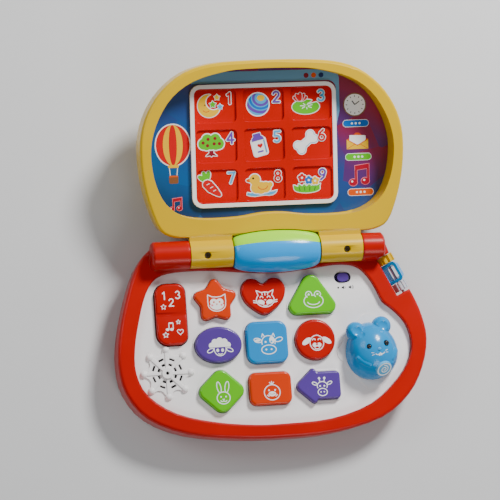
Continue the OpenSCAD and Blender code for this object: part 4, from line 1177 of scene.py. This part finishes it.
@dataclass
class Screen:
    """Prints in the lid: title strip, signs at the right, a balloon at the left, the panel's pictures.

    Attributes:
        panel: Middle of the panel.
        panel_size: Its size.
        border: Width of its frame.
        rib: Width between its windows.
        sheet_n: Height of the lid's sheet over the hinge axis.
        panel_n: Height of the windows over the hinge axis.
        picture_by: From a window's middle to its picture's.
        digit_dx: From a window's middle to its digit's, in each column.
        digit_dy: The same, upwards.
        digit_size: Height of a digit.
        digit_inks: The digits' inks.
    """

    panel: Point = field(default_factory=lambda: lid_box("panel_border_frame")[0])
    panel_size: Point = field(default_factory=lambda: lid_box("panel_border_frame")[1])
    border: float = 3.5
    rib: float = 4.0
    sheet_n: float = -16.0
    panel_n: float = -15.0
    picture_by: Point = (-4.6, 0.6)
    digit_dx: tuple[float, float, float] = (12.2, 11.4, 9.2)
    digit_dy: float = 6.6
    digit_size: float = 8.8
    digit_inks: tuple[Ink, ...] = (
        Ink.RED, Ink.PURPLE, Ink.SKY, Ink.PURPLE, Ink.SKY, Ink.RED, Ink.SKY, Ink.RED, Ink.PURPLE)

    def build(self) -> None:
        """Prints the screen and the panel."""
        sheet = Drawing("screen_print")
        self._strip(sheet)
        self._signs(sheet)
        self._balloon(sheet, (-84.0, 84.0))
        self._notes(sheet, (-83.0, 42.0), 0.62)
        pictures = Drawing("panel_pictures")
        self._panel_pictures(pictures)
        for drawing, height in ((sheet, self.sheet_n), (pictures, self.panel_n)):
            drawing.build(LID_FRAME @ Matrix.Translation((0.0, 0.0, height * MM)), "lid", "label")

    def _strip(self, d: Drawing) -> None:
        """Adds the title strip, which turns down beside the panel, and its three dots."""
        left = -self.panel_size[0] / 2
        right = self.panel_size[0] / 2
        d.origin = (self.panel[0], self.panel[1] + self.panel_size[1] / 2)
        strip = [(left + 2.0, 1.0), (left + 4.0, 10.6)]
        strip += ellipse(9.0, 9.0, (right - 5.4, 1.6), 10, 90, -90)
        strip += [(right + 3.6, -26.0), (right + 0.6, -38.0)]
        strip += ellipse(7.0, 7.0, (right - 6.4, -6.0), 8, 0, 90)
        d.area(Ink.GREY, strip)
        d.origin = (0.0, d.origin[1])
        for x, ink in ((34.0, Ink.DARK_RED), (40.6, Ink.ORANGE), (47.2, Ink.NAVY)):
            d.dot(ink, (x, 5.6), 2.2, 1)

    def _signs(self, d: Drawing) -> None:
        """Adds the clock, the envelope and the notes with their pills."""
        self._clock(d, (76.6, 122.6))
        for x, y, ink in ((77.2, 106.4, Ink.BLUE), (79.0, 77.2, Ink.GREEN), (80.5, 46.4, Ink.ORANGE)):
            d.origin = (x, y)
            d.area(Ink.WHITE, bar(23.4, 6.4, 3.1))
            d.area(ink, bar(22.6, 5.6, 2.7), 1)
            for k in (-1, 0, 1):
                d.dot(Ink.WHITE, (3.4 * k, 0.0), 1.0, 2)
        self._envelope(d, (78.4, 90.6))
        self._notes(d, (79.6, 61.4), 1.0)

    @staticmethod
    def _clock(d: Drawing, at: Point) -> None:
        """Adds a clock with twelve marks."""
        d.origin = at
        d.dot(Ink.BROWN, (0.0, 0.0), 10.3)
        d.dot(Ink.WHITE, (0.0, 0.0), 9.3, 1)
        for k in range(12):
            c, s = math.cos(math.pi * k / 6), math.sin(math.pi * k / 6)
            d.line(Ink.BLACK, [(6.7 * c, 6.7 * s), (8.0 * c, 8.0 * s)], 0.8, False, 2)
        d.line(Ink.BLACK, [(4.2, 3.0), (0.0, 0.0)], 0.8, False, 3)
        d.line(Ink.BLACK, [(-2.4, 3.4), (0.0, 0.0)], 1.0, False, 4)

    @staticmethod
    def _envelope(d: Drawing, at: Point) -> None:
        """Adds an open envelope with a letter in it."""
        d.origin = at
        d.area(Ink.ORANGE, [(-9.4, 1.4), (-1.2, 7.6), (1.2, 7.6), (9.4, 1.4)])
        d.area(Ink.WHITE, swing(bar(14.4, 8.0, 0.6, (0.0, 1.4)), -2), 1)
        front = [(-9.6, -6.6), (9.6, -6.6), (9.6, 2.0), (0.0, -3.4), (-9.6, 2.0)]
        d.area(Ink.YELLOW, front, 2)
        d.line(Ink.ORANGE, front[2:], 0.8, False, 3)
        for side in (-1, 1):
            d.line(Ink.ORANGE, [(side * 9.0, -6.2), (side * 2.4, -2.4)], 0.6, False, 3)

    @staticmethod
    def _notes(d: Drawing, at: Point, size: float) -> None:
        """Adds a pair of notes under one beam."""
        d.origin = at
        for ink, grow, layer in ((Ink.PINK, 0.5, 0), (Ink.CRIMSON, 0.0, 4)):
            for k, dx in enumerate((-5.6, 5.2)):
                head = (dx * size, (k - 6.4) * size)
                d.area(ink, ellipse(3.6 * size + grow, 2.9 * size + grow, head, 26), layer + k)
                stem = (dx + 2.6) * size
                path = [(stem, -6.0 * size), (stem, (5.6 + k) * size)]
                d.line(ink, path, 1.6 * size + 2 * grow, False, layer)
            beam = ((-3.8, 4.2, -1, -1), (8.6, 5.8, 1, -1), (8.6, 9.6, 1, 1), (-3.8, 8.0, -1, 1))
            d.area(ink, [(x * size + p * grow, y * size + q * grow) for x, y, p, q in beam], layer + 2)
        for x, y in ((-6.6, -5.6), (4.2, -4.6)):
            d.dot(Ink.WHITE, (x * size, y * size), 0.9 * size, 7)

    @staticmethod
    def _balloon(d: Drawing, at: Point) -> None:
        """Adds a striped balloon with a basket."""
        d.origin = at
        stripes = (
            (15.6, 18.4, Ink.WHITE), (14.6, 17.4, Ink.RED), (8.6, 17.4, Ink.YELLOW), (3.4, 17.4, Ink.RED))
        for layer, (a, b, ink) in enumerate(stripes):
            d.area(ink, ellipse(a, b, (0.0, 9.0), 60), layer)
        d.area(Ink.YELLOW, bar(9.4, 2.6, 1.2, (0.0, -9.2)), 4)
        for x in (-3.6, 3.6):
            d.line(Ink.WHITE, [(x, -10.0), (x * 0.8, -17.0)], 0.7)
        d.area(Ink.BROWN, bar(8.0, 7.2, 1.6, (0.0, -20.4)))
        d.line(Ink.ORANGE, [(-3.8, -18.0), (3.8, -18.0)], 1.2, False, 2)

    def _panel_pictures(self, d: Drawing) -> None:
        """Prints a picture and a number in each window of the panel."""
        wide, tall = ((size - 2 * self.border - 2 * self.rib) / 3 + self.rib for size in self.panel_size)
        pictures = (
            self._moon, self._ball, self._leaf, self._tree, self._bottle, self._bone,
            self._carrot, self._duck, self._flower,
        )
        for index, (picture, ink) in enumerate(zip(pictures, self.digit_inks)):
            row, column = divmod(index, 3)
            x = self.panel[0] + (column - 1) * wide
            y = self.panel[1] + (1 - row) * tall
            d.origin = (x + self.picture_by[0], y + self.picture_by[1])
            picture(d)
            d.origin = (x, y)
            d.digit(index + 1, (self.digit_dx[column], self.digit_dy), self.digit_size, ink, 8, width=0.2)

    @staticmethod
    def _moon(d: Drawing) -> None:
        """A crescent with stars."""
        outer = ellipse(9.8, 9.8, (-1.0, 0.0), 30, 80.6, 276.2)
        inner = ellipse(6.9, 6.9, (3.0, 3.2), 24, 110.4, 216.6)
        d.sticker(Ink.YELLOW, outer + inner[::-1])
        d.dot(Ink.BROWN, (-4.6, 0.6), 0.7, 3)
        d.line(Ink.ORANGE, ellipse(3.0, 2.2, (-3.4, -3.0), 8, 200, 130), 0.6, False, 3)
        stars = ((6.0, 7.0, 2.9, Ink.YELLOW), (2.2, 1.0, 3.3, Ink.GREEN), (8.6, -1.0, 2.7, Ink.SKY))
        for x, y, r, ink in stars:
            d.sticker(ink, star(r, r * 0.55, (x, y)), 4, 1.0)

    @staticmethod
    def _ball(d: Drawing) -> None:
        """A ball with bands round a pole."""
        edge = 9.5
        pole = (2.6, 5.4)
        d.dot(Ink.WHITE, (0.0, 0.0), 10.4)
        d.dot(Ink.SKY, (0.0, 0.0), edge, 1)
        bands = (
            (14.2, Ink.PURPLE), (11.6, Ink.SKY), (10.6, Ink.BLUE), (8.6, Ink.SKY), (7.6, Ink.PURPLE),
            (5.4, Ink.SKY), (4.4, Ink.SKY),
        )
        for layer, (r, ink) in enumerate(bands, 2):
            d.area(ink, kept_in(ellipse(r, r * 0.94, pole, 72), edge), layer)
        d.area(Ink.YELLOW, kept_in(ellipse(3.4, 2.6, pole, 30), edge), 10)

    @staticmethod
    def _leaf(d: Drawing) -> None:
        """A floating leaf with a flower."""
        d.sticker(Ink.GREEN, [(1.0, -1.6)] + ellipse(12.0, 6.2, (0.4, -3.4), 44, 62, 336))
        for k in range(7):
            c, s = math.cos(math.radians(20 + 51 * k)), math.sin(math.radians(20 + 51 * k))
            vein = [(1.0 + 5.6 * c, -2.8 + 2.9 * s), (1.0 + 1.6 * c, -2.8 + 0.8 * s)]
            d.line(Ink.WHITE, vein, 0.7, False, 3)
        foot = (-4.4, 2.0)
        for k, turn in enumerate((-62, 62, -32, 32, 0)):
            petal = swing(ellipse(1.7, 3.7, (foot[0], foot[1] + 3.4), 18), turn, foot)
            d.sticker(Ink.RED, petal, 3 + k, 0.9)

    @staticmethod
    def _tree(d: Drawing) -> None:
        """A fruit tree."""
        trunk = [(-2.0, -2.0), (2.0, -2.0), (1.8, -6.2), (5.0, -9.0), (1.2, -8.4), (0.0, -9.4), (-1.2, -8.4),
                 (-5.0, -9.0), (-1.8, -6.2)]
        d.sticker(Ink.DARK_RED, trunk)
        crown = [(0.0, 0.0, 5.4), (-6.4, -0.4, 4.8), (6.4, -0.4, 4.8), (-3.4, 3.4, 4.6), (3.6, 3.6, 4.6),
                 (-4.0, -2.2, 3.6), (4.0, -2.2, 3.6)]
        d.area(Ink.WHITE, lobes(crown, (0.0, 2.0), 0.9), 2)
        d.area(Ink.GREEN, lobes(crown, (0.0, 2.0)), 3)
        for fruit in ((-7.0, 2.6), (-2.6, 5.6), (3.4, 6.2), (7.2, 1.6), (-3.2, 0.2), (2.6, 1.6)):
            d.dot(Ink.DARK_RED, fruit, 1.4, 4)

    @staticmethod
    def _bottle(d: Drawing) -> None:
        """A leaning bottle of milk with a heart on it."""
        lean = 13
        d.sticker(Ink.WHITE, swing(bar(12.2, 14.6, 1.8, (0.0, -2.6)), lean), 0, 1.8)
        cap = [(-5.6, 3.2), (5.6, 3.2), (5.0, 5.6), (3.4, 6.8), (3.2, 9.4), (-3.2, 9.4), (-3.4, 6.8),
               (-5.0, 5.6)]
        d.area(Ink.GREY, swing(bar(1.4, 12.0, 0.6, (5.0, -2.8)), lean), 2)
        d.sticker(Ink.PURPLE, swing(cap, lean), 3, 1.0)
        d.area(Ink.RED, swing(heart(2.4, (0.8, -1.6)), lean), 2)
        d.area(Ink.PURPLE, swing(bar(5.4, 1.4, 0.6, (0.0, -6.6)), lean), 2)

    @staticmethod
    def _bone(d: Drawing) -> None:
        """A bone."""
        bone = [(1.7 * k, 1.4 * k, 3.1) for k in (0, -1, 1, -2, 2)]
        bone += [(-7.2, -2.4, 3.5), (-4.0, -6.2, 3.5), (7.0, 3.0, 3.5), (3.8, 6.8, 3.5)]
        d.area(Ink.WHITE, lobes(bone, (0.0, 0.0), 0.9))
        d.area(Ink.GREY, lobes(bone, (0.0, 0.0), 0.1), 1)
        d.area(Ink.WHITE, lobes(bone, (-0.1, 0.1), -0.3), 2)

    @staticmethod
    def _carrot(d: Drawing) -> None:
        """A carrot."""
        for k, angle in enumerate((78, 112, 150)):
            d.sticker(Ink.GREEN, swing(ellipse(4.6, 2.1, (-0.4, 4.0), 20), angle, (-4.6, 4.0)), k)
        root = [(-8.2, -0.4), (-8.2, 2.2), (-6.6, 4.2), (-3.8, 5.0), (-0.6, 3.6), (3.8, -1.6), (7.4, -7.2),
                (7.6, -9.0), (6.2, -9.8), (3.4, -9.0), (-3.6, -5.4)]
        d.sticker(Ink.RED, root, 5)
        for x, y in ((-3.6, 1.2), (-0.6, -1.6), (2.0, -4.4)):
            d.line(Ink.WHITE, [(x - 1.4, y - 0.6), (x + 1.2, y + 0.6)], 0.7, False, 7)

    @staticmethod
    def _duck(d: Drawing) -> None:
        """A duck on the water."""
        wave = [(-11.0, -7.4), (-8.4, -8.0), (-6.0, -7.6), (-3.0, -7.2), (0.0, -7.6), (3.0, -8.0),
                (6.0, -7.6), (9.0, -7.2), (12.0, -7.0), (15.0, -6.0), (13.6, -8.4), (11.0, -9.8),
                (8.0, -10.2), (4.0, -9.8), (0.0, -10.2), (-4.0, -10.8), (-8.0, -10.4), (-11.6, -9.4)]
        d.sticker(Ink.SKY, wave)
        body = [(0.0, 0.0, 5.2), (4.2, 0.4, 4.6), (-3.8, 0.2, 4.8), (8.2, 2.6, 2.2)]
        d.area(Ink.WHITE, lobes(body, (0.8, -3.6), 0.8), 2)
        d.dot(Ink.WHITE, (-4.4, 3.6), 5.5, 3)
        d.sticker(Ink.ORANGE, ellipse(2.8, 1.5, (-9.2, 3.0), 18), 3)
        d.area(Ink.YELLOW, lobes(body, (0.8, -3.6)), 5)
        d.dot(Ink.YELLOW, (-4.4, 3.6), 4.7, 6)
        d.dot(Ink.BLACK, (-5.8, 4.8), 0.9, 7)
        d.line(Ink.ORANGE, ellipse(4.0, 2.6, (2.6, -2.4), 14, 180, 190), 0.8, False, 6)

    @staticmethod
    def _flower(d: Drawing) -> None:
        """Flowers in a bed of leaves."""
        bed: list[Point] = [(-11.6, -6.4)]
        for x, tall in ((-9.6, 4.4), (-6.0, 5.4), (-2.0, 5.0), (2.0, 5.2), (6.0, 5.6), (9.6, 5.0)):
            bed += [(x * 1.25, tall - 6.8), (x + 1.6, tall * 0.35 - 5.6)]
        bed += ellipse(11.4, 3.4, (0.0, -6.0), 20, 0, -180)
        d.sticker(Ink.GREEN, bed)
        for x in (-6.2, -2.0, 2.2, 6.4):
            d.line(Ink.DARK_GREEN, [(x, -7.8), (x * 1.15, -4.4)], 0.7, False, 3)
        petals = [(0.0, 0.0, 1.6)]
        petals += [(*tip, 1.5) for tip in ellipse(2.2, 2.2, (0.0, 0.0), 5, 20)]
        heads = ((-4.4, 3.6, Ink.RED), (1.6, 1.4, Ink.BLUE), (7.2, 0.6, Ink.YELLOW))
        for layer, (x, y, ink) in enumerate(heads, 3):
            d.area(Ink.WHITE, lobes(petals, (x, y), 0.7), layer)
            d.area(ink, lobes(petals, (x, y)), 6)
            d.dot(Ink.WHITE, (x, y), 1.0, 7)


# ---------------------------------------------------------------- studio


@dataclass
class Studio:
    """Floor, lights and camera.

    Attributes:
        target: Point of the toy near the middle of the view.
        lit: Point that the lights look at.
        distance: From the target to the camera.
        focal_px: Focal length in pixels of the frame.
        frame_px: Width of the frame in pixels.
        sensor: Width of the camera's sensor in millimetres.
        azimuth: Direction of the camera round the toy, in degrees.
        elevation: Height of the camera over the horizon, in degrees.
        roll: Turn of the camera about its axis, in degrees.
        offset_px: Where the target lies from the middle of the frame.
    """

    target: Vector = field(default_factory=lambda: Vector((0.0, 0.085, 0.038)))
    lit: Vector = field(default_factory=lambda: Vector((0.0, 0.08, 0.03)))
    distance: float = 1.7204
    focal_px: float = 2000.0
    frame_px: float = 500.0
    sensor: float = 36.0
    azimuth: float = -52.78
    elevation: float = 75.55
    roll: float = 4.40
    offset_px: Point = (24.96, -4.95)

    def build(self) -> None:
        """Makes the floor, the lights and the camera."""
        self._floor()
        self._light("key_light", (0.62, 0.95, 1.0), 0.36, 33.0)
        self._light("fill_light", (-0.95, 0.5, 0.9), 0.6, 4.0)
        self._light("front_light", (0.3, -1.1, 0.9), 0.6, 6.0)
        self._sky()
        self._camera()

    @staticmethod
    def _floor() -> None:
        """A plain pale floor."""
        mesh = bmesh.new()
        bmesh.ops.create_grid(mesh, x_segments=1, y_segments=1, size=3.0)
        data = mesh_of(mesh, "floor")
        data.materials.append(Finish("floor_paper", (0.62, 0.62, 0.62), 0.8, 0.0, 0.01, 0.01).material())
        floor = bpy.data.objects.new("floor", data)
        bpy.context.scene.collection.objects.link(floor)

    def _light(self, name: str, place: tuple[float, float, float], size: float, power: float) -> None:
        """Adds a round area light that looks at the toy."""
        lamp = bpy.data.lights.new(name, "AREA")
        lamp.shape = "DISK"
        lamp.size = size
        lamp.energy = power
        holder = bpy.data.objects.new(name, lamp)
        holder.location = place
        holder.rotation_euler = (self.lit - Vector(place)).to_track_quat("-Z", "Y").to_euler()
        bpy.context.scene.collection.objects.link(holder)

    @staticmethod
    def _sky() -> None:
        """A faint even sky."""
        world = bpy.data.worlds.new("studio")
        world.use_nodes = True
        Graph.put(world.node_tree.nodes["Background"], {"Color": (0.95, 0.97, 1.0, 1.0), "Strength": 0.23})
        bpy.context.scene.world = world

    def _camera(self) -> None:
        """Sets the camera at the viewing angle."""
        az, el, roll = (math.radians(v) for v in (self.azimuth, self.elevation, self.roll))
        back = Vector((math.sin(az) * math.cos(el), -math.cos(az) * math.cos(el), math.sin(el)))
        ahead = -back
        right = ahead.cross(Vector((0.0, 1.0, 0.0))).normalized()
        down = ahead.cross(right)
        turned_right = right * math.cos(roll) + down * math.sin(roll)
        turned_down = -right * math.sin(roll) + down * math.cos(roll)
        off = turned_right * self.offset_px[0] + turned_down * self.offset_px[1]
        aim = (ahead * self.focal_px - off).normalized()
        final_right = aim.cross(-turned_down).normalized()
        up = final_right.cross(aim)
        lens = bpy.data.cameras.new("camera")
        lens.sensor_width = self.sensor
        lens.lens = self.sensor * self.focal_px / self.frame_px
        lens.clip_start = 0.05
        camera = bpy.data.objects.new("camera", lens)
        place = Matrix((final_right, up, -aim)).transposed().to_4x4()
        place.translation = self.target + back * self.distance
        camera.matrix_world = place
        bpy.context.scene.collection.objects.link(camera)
        bpy.context.scene.camera = camera


def dress_nodes() -> None:
    """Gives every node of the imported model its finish, and the visible ones their moulding."""
    for node, thing in frame["nodes"].items():
        thing.data.materials.clear()
        thing.data.materials.append(NODE_FINISH[node].material())
        LOG.info("node %s: %s", node, NODE_FINISH[node].name)
    for node in SOFTENED:
        Moulding(node, KEY_ROUNDING if node in KEYS else 0.0).build()


def main() -> None:
    """Builds the toy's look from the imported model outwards."""
    logging.basicConfig(level=logging.INFO)
    Studio().build()
    dress_nodes()
    Keyboard().build()
    Deck().build()
    Mouse().build()
    Screen().build()


if __name__ == "__main__":
    main()
